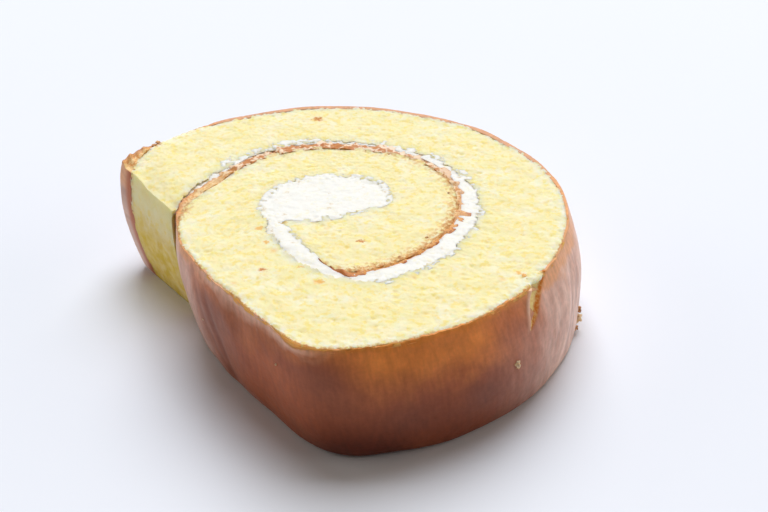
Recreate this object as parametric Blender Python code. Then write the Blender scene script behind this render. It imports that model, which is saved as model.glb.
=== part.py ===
"""One slice of a rolled sponge cake, lying on a cut face.

A soft sponge sheet, browned on one face, is rolled up round whipped cream and cut across. The slice shows
the coil on its upper face. The outer end of the sheet lies as a short flap on the turn below it, and the
browned skin is torn and creased.

Lengths are in millimetres and become metres when a mesh is placed. The roll is laid out in plan about its
own axis: 0 degrees is +X, turns run anticlockwise seen from above, and the sheet's inner end comes first.
The origin is on the resting face, under the middle of the slice, with +Z up along the roll and the flap
towards -X.
"""

import math

import bmesh
import bpy
import numpy as np
from mathutils import Vector, noise

METRES = 0.001

# The slice
HEIGHT = 25.4
LEAN = 3.4  # the resting face lies this much further to +X than the upper one
BULGE = ((0, 0.034), (60, 0.05), (300, 0.05), (360, 0.034))  # share it widens by at mid height, by direction
ROLL_AXIS = (-4.2, 4.8)  # where the roll's axis meets the upper face
CLEARANCE = 0.3  # between the sponge and the cream

# The browned face of the sheet, from its inner end to the flap: degrees of turn and radius
SKIN_LINE = (
    (-91, 22.0), (-83, 26.2), (-75, 27.6), (-30, 27.6), (0, 28.0), (30, 26.8), (60, 24.0), (90, 23.0),
    (120, 23.5), (150, 25.2), (180, 29.0), (210, 31.5), (240, 35.5), (255, 40.7), (268, 47.8), (285, 49.2),
    (330, 49.2), (360, 48.8), (390, 45.3), (420, 41.2), (450, 39.7), (480, 40.0), (510, 44.0), (522, 46.0),
)
# The crumb face of the sheet round the pocket of cream at the middle
POCKET_LINE = (
    (-136, 12.6), (-120, 9.3), (-90, 7.0), (-60, 6.7), (-30, 8.7), (0, 12.3), (30, 12.0), (60, 9.4),
    (90, 8.3), (120, 8.7), (150, 9.9), (180, 11.5), (210, 14.4), (240, 19.7), (270, 27.3), (285, 30.8),
)
# The depth of cream between two turns, past the pocket
FILLING_DEPTH = ((285, 3.2), (345, 3.6), (375, 2.5), (405, 1.9), (435, 1.4), (546, 1.3))
# How far the crumb face runs ahead of the browned one, because both ends of the sheet are cut aslant
END_SLANT = ((-91, -45), (-20, 0), (470, 0), (522, 24))
FLAP_SPREAD = 2.5  # degrees that the flap runs on further at its foot
FLAP_END = 0.05  # share of the sheet's length over which it spreads so
FLAP_ROUNDING = 1.2  # how far the upper edge of the flap's end drops

# The browned face comes out from under the turn over it between these degrees
BARE = (185, 205)
# Creases in the browned wall: degrees at the rim, drift on the way down, half width in degrees, depth
CREASES = (
    (228, 9, 2.0, 1.1), (222.5, 14, 1.6, 0.7), (240, 6, 5.0, -0.5), (327, -9, 1.5, 0.3), (334, -4, 2.0, 0.4),
)
# Shares of the height over which the creases run out, below the rim and above the foot
CREASES_BELOW_RIM, CREASES_ABOVE_FOOT = 0.25, 0.15
# The tear in the browned wall: degrees at the rim, drift down to its tip, width at the rim, depth, length
TEAR_AT, TEAR_DRIFT, TEAR_WIDTH, TEAR_DEPTH, TEAR_LENGTH = 325.5, -8.0, 3.2, 2.6, 8.0
TEAR_OVERRUN = 2.0  # how far the wedge that opens the tear stands over the rim
# Crumbs stuck to the browned wall: degrees, share of the height, size
CRUMBS = (
    (349, 0.21, 0.9), (348, 0.10, 1.4), (343, 0.10, 1.1), (312.8, 0.51, 0.8),
    (486, 1.0, 0.9), (515.5, 1.0, 1.0), (520, 0.98, 0.8),
)
CRUMB_UNEVENNESS, CRUMB_LUMPS = 0.6, 1.5

# The mesh of the sheet and of the cream
RIBS = 140
COLUMNS = 6
SPONGE_LEVELS = (0.0, 0.035, 0.15, 0.30, 0.45, 0.60, 0.75, 0.90, 1.0)
CREAM_LEVELS = (0.0, 0.25, 0.5, 0.75, 1.0)
FOOT_ROUNDING = 0.9
SHARP_EDGE = 40  # degrees

# Relief of the cut face and of the wall: height, and the size of one swell
CUT_RELIEF, CUT_GRAIN = 0.3, 5.0
WALL_RELIEF, WALL_GRAIN = 0.5, 12.0


def smooth_line(stations, at):
    """Values at the given places of a smooth curve through the stations."""
    x, y = (np.array(column, float) for column in zip(*stations))
    slope = np.diff(y) / np.diff(x)
    tangent = np.concatenate([slope[:1], (slope[:-1] + slope[1:]) / 2, slope[-1:]])
    tangent[1:-1][slope[:-1] * slope[1:] <= 0] = 0
    at = np.clip(at, x[0], x[-1])
    i = np.clip(np.searchsorted(x, at, side="right") - 1, 0, len(slope) - 1)
    step = x[i + 1] - x[i]
    s = (at - x[i]) / step
    return (
        y[i] * (1 + 2 * s) * (1 - s) ** 2
        + tangent[i] * step * s * (1 - s) ** 2
        + y[i + 1] * s**2 * (3 - 2 * s)
        + tangent[i + 1] * step * s**2 * (s - 1)
    )


def smooth_step(value, low, high):
    """0 below low, 1 above high, and a smooth rise between."""
    s = np.clip((value - low) / (high - low), 0, 1)
    return s * s * (3 - 2 * s)


def skin_radius(degrees):
    return smooth_line(SKIN_LINE, degrees)


def crumb_radius(degrees):
    """Radius of the crumb face: round the pocket, and then a depth of cream outside the turn below it."""
    over_turn_below = skin_radius(degrees - 360) + smooth_line(FILLING_DEPTH, degrees)
    return np.where(degrees < POCKET_LINE[-1][0], smooth_line(POCKET_LINE, degrees), over_turn_below)


def in_plan(degrees, radius):
    angle = np.radians(degrees)
    return np.stack([radius * np.cos(angle), radius * np.sin(angle)], axis=-1)


def stand(plan, share, rise=0.0):
    """The point over a plan, at a share of the height: the slice leans and bulges."""
    direction = math.degrees(math.atan2(plan[1], plan[0])) % 360
    swell = 1 + smooth_line(BULGE, direction) * 4 * share * (1 - share)
    x = ROLL_AXIS[0] + plan[0] * swell + LEAN * (1 - share)
    y = ROLL_AXIS[1] + plan[1] * swell
    return Vector((x, y, HEIGHT * share + rise)) * METRES


def wall_relief(degrees, share):
    """How far the browned wall stands out at a place, from its swells and creases."""
    swells = WALL_RELIEF * noise.noise(Vector((degrees / WALL_GRAIN, share * HEIGHT / WALL_GRAIN, 0.0)))
    depth = 0.0
    for at, drift, half_width, deep in CREASES:
        across = (degrees - at - drift * (1 - share)) / half_width
        depth += deep * math.exp(-across * across)
    fade = smooth_step(1 - share, 0, CREASES_BELOW_RIM) * smooth_step(share, 0, CREASES_ABOVE_FOOT)
    return swells - depth * fade


def cut_relief(plan, along):
    """How far the upper cut face stands over its level."""
    at_flap_end = along > 1 - 1 / (2 * RIBS)
    return CUT_RELIEF * noise.noise(Vector((*plan, 0.0)) / CUT_GRAIN) - FLAP_ROUNDING * at_flap_end


def rolled_point(along, across, share):
    """Where a point of the flat sheet comes to lie: along from the inner end, across from the crumb face."""
    skin_at = SKIN_LINE[0][0] + along * (SKIN_LINE[-1][0] - SKIN_LINE[0][0])
    crumb_at = skin_at + smooth_line(END_SLANT, skin_at)
    spread = FLAP_SPREAD * (1 - share) * smooth_step(along, 1 - FLAP_END, 1)
    skin_at, crumb_at = skin_at + spread, crumb_at + spread
    crumb = in_plan(crumb_at, crumb_radius(crumb_at))
    skin = in_plan(skin_at, skin_radius(skin_at))
    skin = skin * (1 + smooth_step(skin_at, *BARE) * wall_relief(skin_at, share) / np.linalg.norm(skin))
    if share == 0:
        inset = FOOT_ROUNDING / np.linalg.norm(skin - crumb)
        across = inset + across * (1 - 2 * inset)
    plan = crumb + (skin - crumb) * across
    return stand(plan, share, cut_relief(plan, along) if share == 1 else 0.0)


def raise_faces(mesh, levels):
    """Extrudes all the faces of a flat mesh up through the levels, to one closed body."""
    top = mesh.faces[:]
    for lower, level in zip(levels, levels[1:]):
        raised = bmesh.ops.extrude_face_region(mesh, geom=top)["geom"]
        if lower > levels[0]:
            bmesh.ops.delete(mesh, geom=top, context="FACES")
        top = [item for item in raised if isinstance(item, bmesh.types.BMFace)]
        for item in raised:
            if isinstance(item, bmesh.types.BMVert):
                item.co.z = level


def add_object(name, mesh, material):
    bmesh.ops.recalc_face_normals(mesh, faces=mesh.faces)
    data = bpy.data.meshes.new(name)
    mesh.to_mesh(data)
    mesh.free()
    data.shade_smooth()
    data.set_sharp_from_angle(angle=math.radians(SHARP_EDGE))
    obj = bpy.data.objects.new(name, data)
    obj.data.materials.append(material)
    bpy.context.scene.collection.objects.link(obj)
    return obj


def add_material(name, colour, roughness):
    material = bpy.data.materials.new(name)
    material.use_nodes = True
    shader = material.node_tree.nodes["Principled BSDF"]
    shader.inputs["Base Color"].default_value = (*colour, 1.0)
    shader.inputs["Roughness"].default_value = roughness
    shader.inputs["Metallic"].default_value = 0.0
    return material


def make_sheet(material):
    """The sheet is made as a flat slab and then rolled up."""
    mesh = bmesh.new()
    bmesh.ops.create_grid(mesh, x_segments=RIBS, y_segments=COLUMNS, size=0.5)
    raise_faces(mesh, SPONGE_LEVELS)
    for vertex in mesh.verts:
        vertex.co = rolled_point(vertex.co.x + 0.5, vertex.co.y + 0.5, vertex.co.z)
    return add_object("sponge", mesh, material)


def make_crumb(number, degrees, share, size, material):
    """An uneven lump, half sunk in the browned wall."""
    mesh = bmesh.new()
    bmesh.ops.create_icosphere(mesh, subdivisions=2, radius=1.0)
    middle = stand(in_plan(degrees, skin_radius(degrees)), share)
    for vertex in mesh.verts:
        unevenness = CRUMB_UNEVENNESS * noise.noise(vertex.co * CRUMB_LUMPS + Vector((0, 0, 10 * number)))
        vertex.co = middle + vertex.co * size * (1 + unevenness) * METRES
    return add_object(f"crumb_{number}", mesh, material)


def make_tear(material):
    """A wedge that opens towards the rim and runs out at its tip, on the browned face."""
    rim, tip_at = skin_radius(TEAR_AT), TEAR_AT + TEAR_DRIFT
    half_angle = math.degrees(TEAR_WIDTH / rim)
    top = 1 + TEAR_OVERRUN / HEIGHT
    corners = (
        stand(in_plan(TEAR_AT - half_angle, rim + TEAR_DEPTH), top),
        stand(in_plan(TEAR_AT + half_angle, rim + TEAR_DEPTH), top),
        stand(in_plan(TEAR_AT, rim - TEAR_DEPTH), top),
        stand(in_plan(tip_at, skin_radius(tip_at)), 1 - TEAR_LENGTH / HEIGHT),
    )
    mesh = bmesh.new()
    bmesh.ops.convex_hull(mesh, input=[mesh.verts.new(corner) for corner in corners])
    return add_object("tear", mesh, material)


def combine(obj, operation, others):
    """Applies one Boolean of the others to the object, and removes them."""
    group = bpy.data.collections.new("others")
    bpy.context.scene.collection.children.link(group)
    for other in others:
        bpy.context.scene.collection.objects.unlink(other)
        group.objects.link(other)
    modifier = obj.modifiers.new("combine", "BOOLEAN")
    modifier.operation = operation
    modifier.operand_type = "COLLECTION"
    modifier.collection = group
    modifier.solver = "EXACT"
    graph = bpy.context.evaluated_depsgraph_get()
    combined = bpy.data.meshes.new_from_object(obj.evaluated_get(graph))
    obj.modifiers.remove(modifier)
    obj.data = combined
    for other in others:
        bpy.data.objects.remove(other, do_unlink=True)
    bpy.data.collections.remove(group)


def make_sponge(material):
    sponge = make_sheet(material)
    crumbs = [make_crumb(number, *crumb, material) for number, crumb in enumerate(CRUMBS)]
    combine(sponge, "UNION", crumbs)
    combine(sponge, "DIFFERENCE", [make_tear(material)])
    return sponge


def offset_line(points, distance):
    """The line moved sideways, to its left, by a distance."""
    run = np.gradient(points, axis=0)
    normal = np.stack([-run[:, 1], run[:, 0]], axis=1)
    return points + distance * normal / np.linalg.norm(normal, axis=1)[:, None]


def cream_outline():
    """The space between the turns, from the pocket out to the flap's end and back along the browned face."""
    step = (SKIN_LINE[-1][0] - SKIN_LINE[0][0]) / RIBS
    flap_end = SKIN_LINE[-1][0] + END_SLANT[-1][1]
    outward = np.arange(POCKET_LINE[0][0], flap_end, step)
    back = np.arange(flap_end - 360 - step, SKIN_LINE[0][0], -step)
    crumb_side = offset_line(in_plan(outward, crumb_radius(outward)), CLEARANCE)
    skin_side = offset_line(in_plan(back, skin_radius(back)), CLEARANCE)
    return np.concatenate([crumb_side, skin_side, inner_end_side()])


def inner_end_side():
    """The cream's edge round the cut inner end of the sheet, which it clears."""
    skin_corner = in_plan(SKIN_LINE[0][0], SKIN_LINE[0][1])
    crumb_corner = in_plan(POCKET_LINE[0][0], POCKET_LINE[0][1])
    cut = (crumb_corner - skin_corner) / np.linalg.norm(crumb_corner - skin_corner)
    away = np.array([-cut[1], cut[0]])
    return np.array([skin_corner + away * CLEARANCE, crumb_corner + (away + cut) * CLEARANCE])


def make_cream(material):
    mesh = bmesh.new()
    outline = cream_outline()
    mesh.faces.new([mesh.verts.new((x, y, 0.0)) for x, y in outline])
    raise_faces(mesh, CREAM_LEVELS)
    for vertex in mesh.verts:
        vertex.co = stand(vertex.co.xy, vertex.co.z)
    return add_object("cream", mesh, material)


def main():
    for obj in list(bpy.data.objects):
        bpy.data.objects.remove(obj, do_unlink=True)
    make_sponge(add_material("sponge", (0.93, 0.80, 0.42), 0.9))
    make_cream(add_material("cream", (0.95, 0.94, 0.90), 0.6))


main()
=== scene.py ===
"""The looks of one slice of roll cake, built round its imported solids.

The sponge sheet and its browned skin are made flat, as they are baked, and one Geometry Nodes tree rolls
them up round the cream. The cut face gets its pores, the skin its creases, its tear and its darker patches,
and crumbs lie where the knife left them.

Lengths are in millimetres and angles in degrees, until a mesh is placed in metres. The roll is laid out in
plan about its own axis: 0 degrees is +X, and turns run anticlockwise seen from above.
"""

import logging
import math
from collections.abc import Callable
from dataclasses import dataclass
from enum import Enum
from itertools import product

import bmesh
import bpy
import numpy as np
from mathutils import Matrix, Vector, geometry, kdtree, noise


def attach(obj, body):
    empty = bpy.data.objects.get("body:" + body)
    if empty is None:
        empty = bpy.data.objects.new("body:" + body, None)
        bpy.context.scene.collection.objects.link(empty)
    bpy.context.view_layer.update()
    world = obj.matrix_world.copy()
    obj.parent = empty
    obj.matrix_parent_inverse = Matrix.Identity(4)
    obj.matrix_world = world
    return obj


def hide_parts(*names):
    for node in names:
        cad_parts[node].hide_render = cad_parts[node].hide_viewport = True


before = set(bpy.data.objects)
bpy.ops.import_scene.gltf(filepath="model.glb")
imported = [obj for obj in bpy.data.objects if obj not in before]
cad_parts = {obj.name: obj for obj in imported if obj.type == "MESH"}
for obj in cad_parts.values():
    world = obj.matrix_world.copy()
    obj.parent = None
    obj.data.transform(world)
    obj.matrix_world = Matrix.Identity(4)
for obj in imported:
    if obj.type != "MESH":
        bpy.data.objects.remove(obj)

LOG = logging.getLogger("roll_cake")
METRES = 0.001
FLAT_WITHIN = 1e-5

Colour = tuple[float, float, float]
Span = tuple[float, float]
Numbers = tuple[float, ...]
Stations = tuple[Numbers, ...]
Array = np.ndarray
Socket = bpy.types.NodeSocket
Thing = bpy.types.Object
Guides = dict[str, Thing]
FaceTest = Callable[[bmesh.types.BMFace], bool]


class Slot(Enum):
    """The record's material slots."""

    SPONGE = "sponge"
    SKIN = "browned_skin"
    CREAM = "cream"


class Kind(Enum):
    """The kinds of input that a Geometry Nodes tree here asks for."""

    NUMBER = "NodeSocketFloat"
    COUNT = "NodeSocketInt"
    VECTOR = "NodeSocketVector"
    OBJECT = "NodeSocketObject"
    MATERIAL = "NodeSocketMaterial"


def smooth_line(stations: Stations, at: Array | float) -> Array:
    """Values of a smooth curve through the stations.

    Args:
        stations: Pairs of place and value, in rising order of place.
        at: The places asked for; past the ends the curve keeps its end values.

    Returns:
        One value for each place.
    """
    x, y = (np.array(column, float) for column in zip(*stations))
    slope = np.diff(y) / np.diff(x)
    tangent = np.concatenate([slope[:1], (slope[:-1] + slope[1:]) / 2, slope[-1:]])
    tangent[1:-1][slope[:-1] * slope[1:] <= 0] = 0
    at = np.clip(at, x[0], x[-1])
    i = np.clip(np.searchsorted(x, at, side="right") - 1, 0, len(slope) - 1)
    step = x[i + 1] - x[i]
    s = (at - x[i]) / step
    return (
        y[i] * (1 + 2 * s) * (1 - s) ** 2
        + tangent[i] * step * s * (1 - s) ** 2
        + y[i + 1] * s**2 * (3 - 2 * s)
        + tangent[i + 1] * step * s**2 * (s - 1)
    )


def smooth_step(value: Array, low: float, high: float) -> Array:
    """0 below low, 1 above high, and a smooth rise between."""
    s = np.clip((value - low) / (high - low), 0, 1)
    return s * s * (3 - 2 * s)


def smooth_band(value: Array, span: Numbers) -> Array:
    """A smooth rise between the first two of four values, and a fall between the last two."""
    return smooth_step(value, *span[:2]) * (1 - smooth_step(value, *span[2:]))


def lumps(places: Array, grain: float, seed: float = 0.0) -> Array:
    """Smooth noise from about -1 to 1 at points in millimetres; the seed moves its pattern."""
    shift = Vector((seed, 2 * seed, 3 * seed))
    return np.array([noise.noise(Vector(place) / grain + shift) for place in places.tolist()])


def layered(places: Array, layers: Stations) -> Array:
    """Noise at some points, added up from the height, the grain and the seed of each layer."""
    return sum(height * lumps(places, grain, seed) for height, grain, seed in layers)


def lengths(line: Array) -> Array:
    """Length of a line from its start to each of its points."""
    return np.concatenate([[0], np.cumsum(np.linalg.norm(np.diff(line, axis=0), axis=1))])


@dataclass(frozen=True)
class RollPlan:
    """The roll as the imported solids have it: where the places of the flat sheet come to lie.

    A place along the sheet is a share from 0 at its inner end to 1 at the flap. A place across it is a
    share from 0 on the crumb face to 1 on the browned one.
    """

    height: float = 25.4
    lean: float = 3.4
    axis: Span = (-4.2, 4.8)
    bulge: float = 0.05
    least_bulge: float = 0.034
    bulge_rise: float = 60.0
    skin_stations: Stations = (
        (-91, 22), (-83, 26.2), (-75, 27.6), (-30, 27.6), (0, 28), (30, 26.8), (60, 24), (90, 23),
        (120, 23.5), (150, 25.2), (180, 29), (210, 31.5), (240, 35.5), (255, 40.7), (268, 47.8),
        (285, 49.2), (330, 49.2), (360, 48.8), (390, 45.3), (420, 41.2), (450, 39.7), (480, 40),
        (510, 44), (522, 46),
    )
    pocket: Stations = (
        (-136, 12.6), (-120, 9.3), (-90, 7), (-60, 6.7), (-30, 8.7), (0, 12.3), (30, 12), (60, 9.4),
        (90, 8.3), (120, 8.7), (150, 9.9), (180, 11.5), (210, 14.4), (240, 19.7), (270, 27.3), (285, 30.8),
    )
    filling_depth: Stations = ((285, 3.2), (345, 3.6), (375, 2.5), (405, 1.9), (435, 1.4), (546, 1.3))
    end_slant: Stations = ((-91, -45), (-20, 0), (470, 0), (522, 24))
    skin_depth: Stations = (
        (-91, 1.6), (-75, 1.5), (-50, 1.1), (0, 1.2), (30, 1.8), (60, 2.6), (80, 3), (140, 3.2),
        (165, 3.9), (180, 2.8), (190, 1.5), (203, 0.6), (215, 0.4), (240, 0.4), (340, 0.4), (352, 0.42),
        (378, 1.1), (395, 1.2), (470, 1.2), (484, 1.1), (497, 0.42), (503, 0.5), (514, 1.6), (522, 4.8),
    )
    flap_spread: float = 2.5
    flap_run: float = 0.05
    flap_rounding: float = 1.2
    foot_rounding: float = 0.9
    bare: Span = (185, 205)
    samples: int = 3000

    def turn(self, along: Array | float) -> Array | float:
        """Degrees of the browned face at a place along the sheet."""
        return self.skin_stations[0][0] + along * self.turns

    def along(self, degrees: Array | float) -> Array | float:
        """The place along the sheet whose browned face is at these degrees."""
        return (degrees - self.skin_stations[0][0]) / self.turns

    @property
    def fine(self) -> Array:
        """Many places along the sheet, from end to end."""
        return np.linspace(0, 1, self.samples)

    @property
    def turns(self) -> float:
        """Degrees from the inner end of the browned face to the flap."""
        return self.skin_stations[-1][0] - self.skin_stations[0][0]

    @property
    def flap_end(self) -> float:
        """Degrees at which the crumb face ends, under the flap."""
        return self.skin_stations[-1][0] + self.end_slant[-1][1]

    def skin_radius(self, degrees: Array | float) -> Array:
        """Radius of the browned face."""
        return smooth_line(self.skin_stations, degrees)

    def crumb_radius(self, degrees: Array | float) -> Array:
        """Radius of the crumb face: round the pocket, and then a depth of cream outside the turn below."""
        outer = self.skin_radius(degrees - 360) + smooth_line(self.filling_depth, degrees)
        return np.where(degrees < self.pocket[-1][0], smooth_line(self.pocket, degrees), outer)

    def in_plan(self, degrees: Array | float, radius: Array | float) -> Array:
        """Plan points at these degrees and radii, about the roll's axis."""
        angle = np.radians(degrees)
        return np.stack([radius * np.cos(angle), radius * np.sin(angle)], axis=-1)

    def skin_line(self, along: Array) -> Array:
        """Plan points of the browned face."""
        return self.in_plan(self.turn(along), self.skin_radius(self.turn(along)))

    def crumb_line(self, along: Array) -> Array:
        """Plan points of the crumb face, opposite those of the browned one."""
        degrees = self.turn(along) + smooth_line(self.end_slant, self.turn(along))
        return self.in_plan(degrees, self.crumb_radius(degrees))

    def width(self, along: Array) -> Array:
        """Thickness of the sheet."""
        return np.linalg.norm(self.skin_line(along) - self.crumb_line(along), axis=-1)

    def run(self, along: Array) -> Array:
        """Length of the sheet, along its middle, up to some places."""
        middle = (self.skin_line(self.fine) + self.crumb_line(self.fine)) / 2
        return np.interp(along, self.fine, lengths(middle))

    def even_places(self, count: int) -> Array:
        """A number of places at equal steps of length, from end to end of the sheet."""
        length = self.run(self.fine)
        return np.interp(np.linspace(0, length[-1], count), length, self.fine)

    def stand(self, plan: Array, share: Array) -> Array:
        """Points over plan points, at shares of the height: the slice leans and bulges.

        Args:
            plan: Plan points, one row each.
            share: Their shares of the height.

        Returns:
            Points in millimetres, in the frame's axes.
        """
        direction = np.abs(np.degrees(np.arctan2(plan[:, 1], plan[:, 0])))
        more = (self.bulge - self.least_bulge) * smooth_step(direction, 0, self.bulge_rise)
        bulge = self.least_bulge + more
        swell = 1 + bulge * 4 * share * (1 - share)
        x = self.axis[0] + plan[:, 0] * swell + self.lean * (1 - share)
        y = self.axis[1] + plan[:, 1] * swell
        return np.stack([x, y, self.height * share], axis=-1)


@dataclass(frozen=True)
class Patches:
    """Soft patches of noise: their size, where in the noise they rise, and between which values."""

    grain: float
    low: float = 0.3
    high: float = 0.7
    least: float = 0.0
    most: float = 1.0
    detail: float = 3.0
    roughness: float = 0.6


class NodeWriter:
    """Writes nodes and links into one node tree."""

    def __init__(self, tree: bpy.types.NodeTree) -> None:
        """Keeps the tree to write into."""
        self.tree = tree

    def add(self, kind: str, inputs: dict[str | int, object] | None = None,
            **settings: object) -> bpy.types.Node:
        """Adds one node.

        Args:
            kind: Blender's name of the node's type.
            inputs: Sockets to link, or values to set, by the input's name or number.
            settings: Properties of the node.

        Returns:
            The node.
        """
        node = self.tree.nodes.new(kind)
        for name, value in settings.items():
            setattr(node, name, value)
        for key, value in (inputs or {}).items():
            self.feed(node.inputs[key], value)
        return node

    def feed(self, socket: Socket, value: object) -> None:
        """Links a socket into another one, or sets its value.

        Args:
            socket: The input.
            value: The socket to link, or the value to set.
        """
        if isinstance(value, bpy.types.NodeSocket):
            self.tree.links.new(value, socket)
        else:
            socket.default_value = value

    def math(self, operation: str, first: object, second: object = 0.0) -> Socket:
        """One sum on numbers."""
        return self.add("ShaderNodeMath", {0: first, 1: second}, operation=operation).outputs[0]

    def times(self, first: object, second: object) -> Socket:
        """The product of two numbers."""
        return self.math("MULTIPLY", first, second)

    def plus(self, first: object, second: object) -> Socket:
        """The sum of two numbers."""
        return self.math("ADD", first, second)

    def minus(self, first: object, second: object) -> Socket:
        """The first number less the second."""
        return self.math("SUBTRACT", first, second)

    def larger(self, first: object, second: object) -> Socket:
        """The larger of two numbers."""
        return self.math("MAXIMUM", first, second)

    def vector(self, operation: str, first: object, second: object) -> Socket:
        """One sum on vectors."""
        return self.add("ShaderNodeVectorMath", {0: first, 1: second}, operation=operation).outputs[0]

    def scaled(self, vector: object, scale: object) -> Socket:
        """A vector times a number."""
        return self.add("ShaderNodeVectorMath", {0: vector, "Scale": scale}, operation="SCALE").outputs[0]

    def split(self, vector: Socket) -> tuple[Socket, Socket, Socket]:
        """The three parts of a vector."""
        return tuple(self.add("ShaderNodeSeparateXYZ", {0: vector}).outputs)

    def joined(self, x: object, y: object, z: object) -> Socket:
        """A vector of three numbers."""
        return self.add("ShaderNodeCombineXYZ", {0: x, 1: y, 2: z}).outputs[0]

    def between(self, factor: object, first: object, second: object) -> Socket:
        """A vector from the first to the second, or past them."""
        inputs = {0: factor, 4: first, 5: second}
        return self.add("ShaderNodeMix", inputs, data_type="VECTOR", clamp_factor=False).outputs[1]

    def blend(self, factor: object, first: object, second: object, how: str = "MIX") -> Socket:
        """A colour between two colours.

        Args:
            factor: 0 for the first colour and 1 for the second.
            first: A colour, or a socket that gives one.
            second: Another.
            how: Blender's name of the way to mix them.

        Returns:
            The mixed colour.
        """
        first, second = ((*c, 1.0) if isinstance(c, tuple) else c for c in (first, second))
        mix = self.add("ShaderNodeMix", {0: factor, 6: first, 7: second}, data_type="RGBA", blend_type=how)
        return mix.outputs[2]

    def rise(self, value: object, low: object, high: object, start: object = 0, end: object = 1) -> Socket:
        """A smooth rise from start, at low, to end, at high."""
        ends = {"Value": value, "From Min": low, "From Max": high, "To Min": start, "To Max": end}
        return self.add("ShaderNodeMapRange", ends, interpolation_type="SMOOTHSTEP").outputs[0]

    def noise(self, vector: Socket, grain: float, detail: float = 2.0, roughness: float = 0.5) -> Socket:
        """Noise from 0 to 1, with lumps of about one grain."""
        inputs = {"Vector": vector, "Scale": 1 / grain, "Detail": detail, "Roughness": roughness}
        return self.add("ShaderNodeTexNoise", inputs).outputs[0]

    def patches(self, vector: Socket, look: Patches, shift: object = None) -> Socket:
        """Soft patches of noise.

        Args:
            vector: Where the pattern is read.
            look: The size and the values of the patches.
            shift: Added to the noise, where it is given.

        Returns:
            A number from the least to the most of the patches.
        """
        noise = self.noise(vector, look.grain, look.detail, look.roughness)
        if shift is not None:
            noise = self.plus(noise, shift)
        return self.rise(noise, look.low, look.high, look.least, look.most)

    def warped(self, vector: Socket, grain: float, reach: float) -> Socket:
        """The places with uneven shifts, of one grain and up to a reach in each direction."""
        uneven = self.add("ShaderNodeTexNoise", {"Vector": vector, "Scale": 1 / grain}).outputs["Color"]
        return self.vector("ADD", vector, self.scaled(uneven, reach))

    def mark(self, name: str) -> Socket:
        """A number that a mesh carries at each point, as its material reads it."""
        return self.add("ShaderNodeAttribute", attribute_name=name).outputs["Fac"]

    def sheet_place(self) -> tuple[Socket, Socket, Socket]:
        """Where a point lay on the flat sheet: its run, its depth under the browned face, its height."""
        return self.split(self.add("ShaderNodeAttribute", attribute_name="sheet_place").outputs["Vector"])

    def cells(self, vector: Socket, size: object) -> tuple[Socket, Socket]:
        """A pattern of cells: how far from a cell's middle, in cells, and the cell's own random number."""
        cell = self.add("ShaderNodeTexVoronoi", {"Vector": vector, "Scale": self.math("DIVIDE", 1.0, size)})
        return cell.outputs["Distance"], self.split(cell.outputs["Color"])[0]

    def pores(self, vector: Socket, size: object, share: float, widest: float = 0.5) -> Socket:
        """Round pores in a share of the cells, up to a widest radius: 1 in the middle and 0 outside."""
        distance, chance = self.cells(vector, size)
        return self.rise(distance, 0.0, self.rise(chance, 1 - share, 1.0, 0.001, widest), 1.0, 0.0)


@dataclass(frozen=True)
class Finish:
    """What every finish has: its name, its slot and how light enters and leaves it."""

    name: str
    slot: Slot
    roughness: float
    specular: float
    glow: float = 0.0
    glow_depth: float = 1.0
    glow_colour: Colour = (1.0, 0.7, 0.35)
    sheen: float = 0.0
    bump: float = 0.0

    def material(self) -> bpy.types.Material:
        """Makes the material.

        Returns:
            A material whose colour and fine relief come from nodes.
        """
        material = bpy.data.materials.new(self.name)
        material.use_nodes = True
        write = NodeWriter(material.node_tree)
        shader = material.node_tree.nodes["Principled BSDF"]
        constants = {
            "Roughness": self.roughness, "Specular IOR Level": self.specular,
            "Subsurface Weight": self.glow, "Subsurface Radius": self.glow_colour,
            "Subsurface Scale": self.glow_depth * METRES,
            "Sheen Weight": self.sheen, "Sheen Roughness": 0.3,
        }
        for name, value in constants.items():
            shader.inputs[name].default_value = value
        spot = write.add("ShaderNodeTexCoord").outputs["Object"]
        spot = write.scaled(spot, 1 / METRES)
        write.feed(shader.inputs["Base Color"], self.colour(write, spot))
        bump = {"Height": self.relief(write, spot), "Distance": self.bump * METRES}
        write.feed(shader.inputs["Normal"], write.add("ShaderNodeBump", bump).outputs[0])
        return material

    def colour(self, write: NodeWriter, spot: Socket) -> Socket:
        """The colour at a spot, in millimetres."""
        raise NotImplementedError

    def relief(self, write: NodeWriter, spot: Socket) -> Socket:
        """The fine relief at a spot, from 0 to 1."""
        raise NotImplementedError


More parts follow.
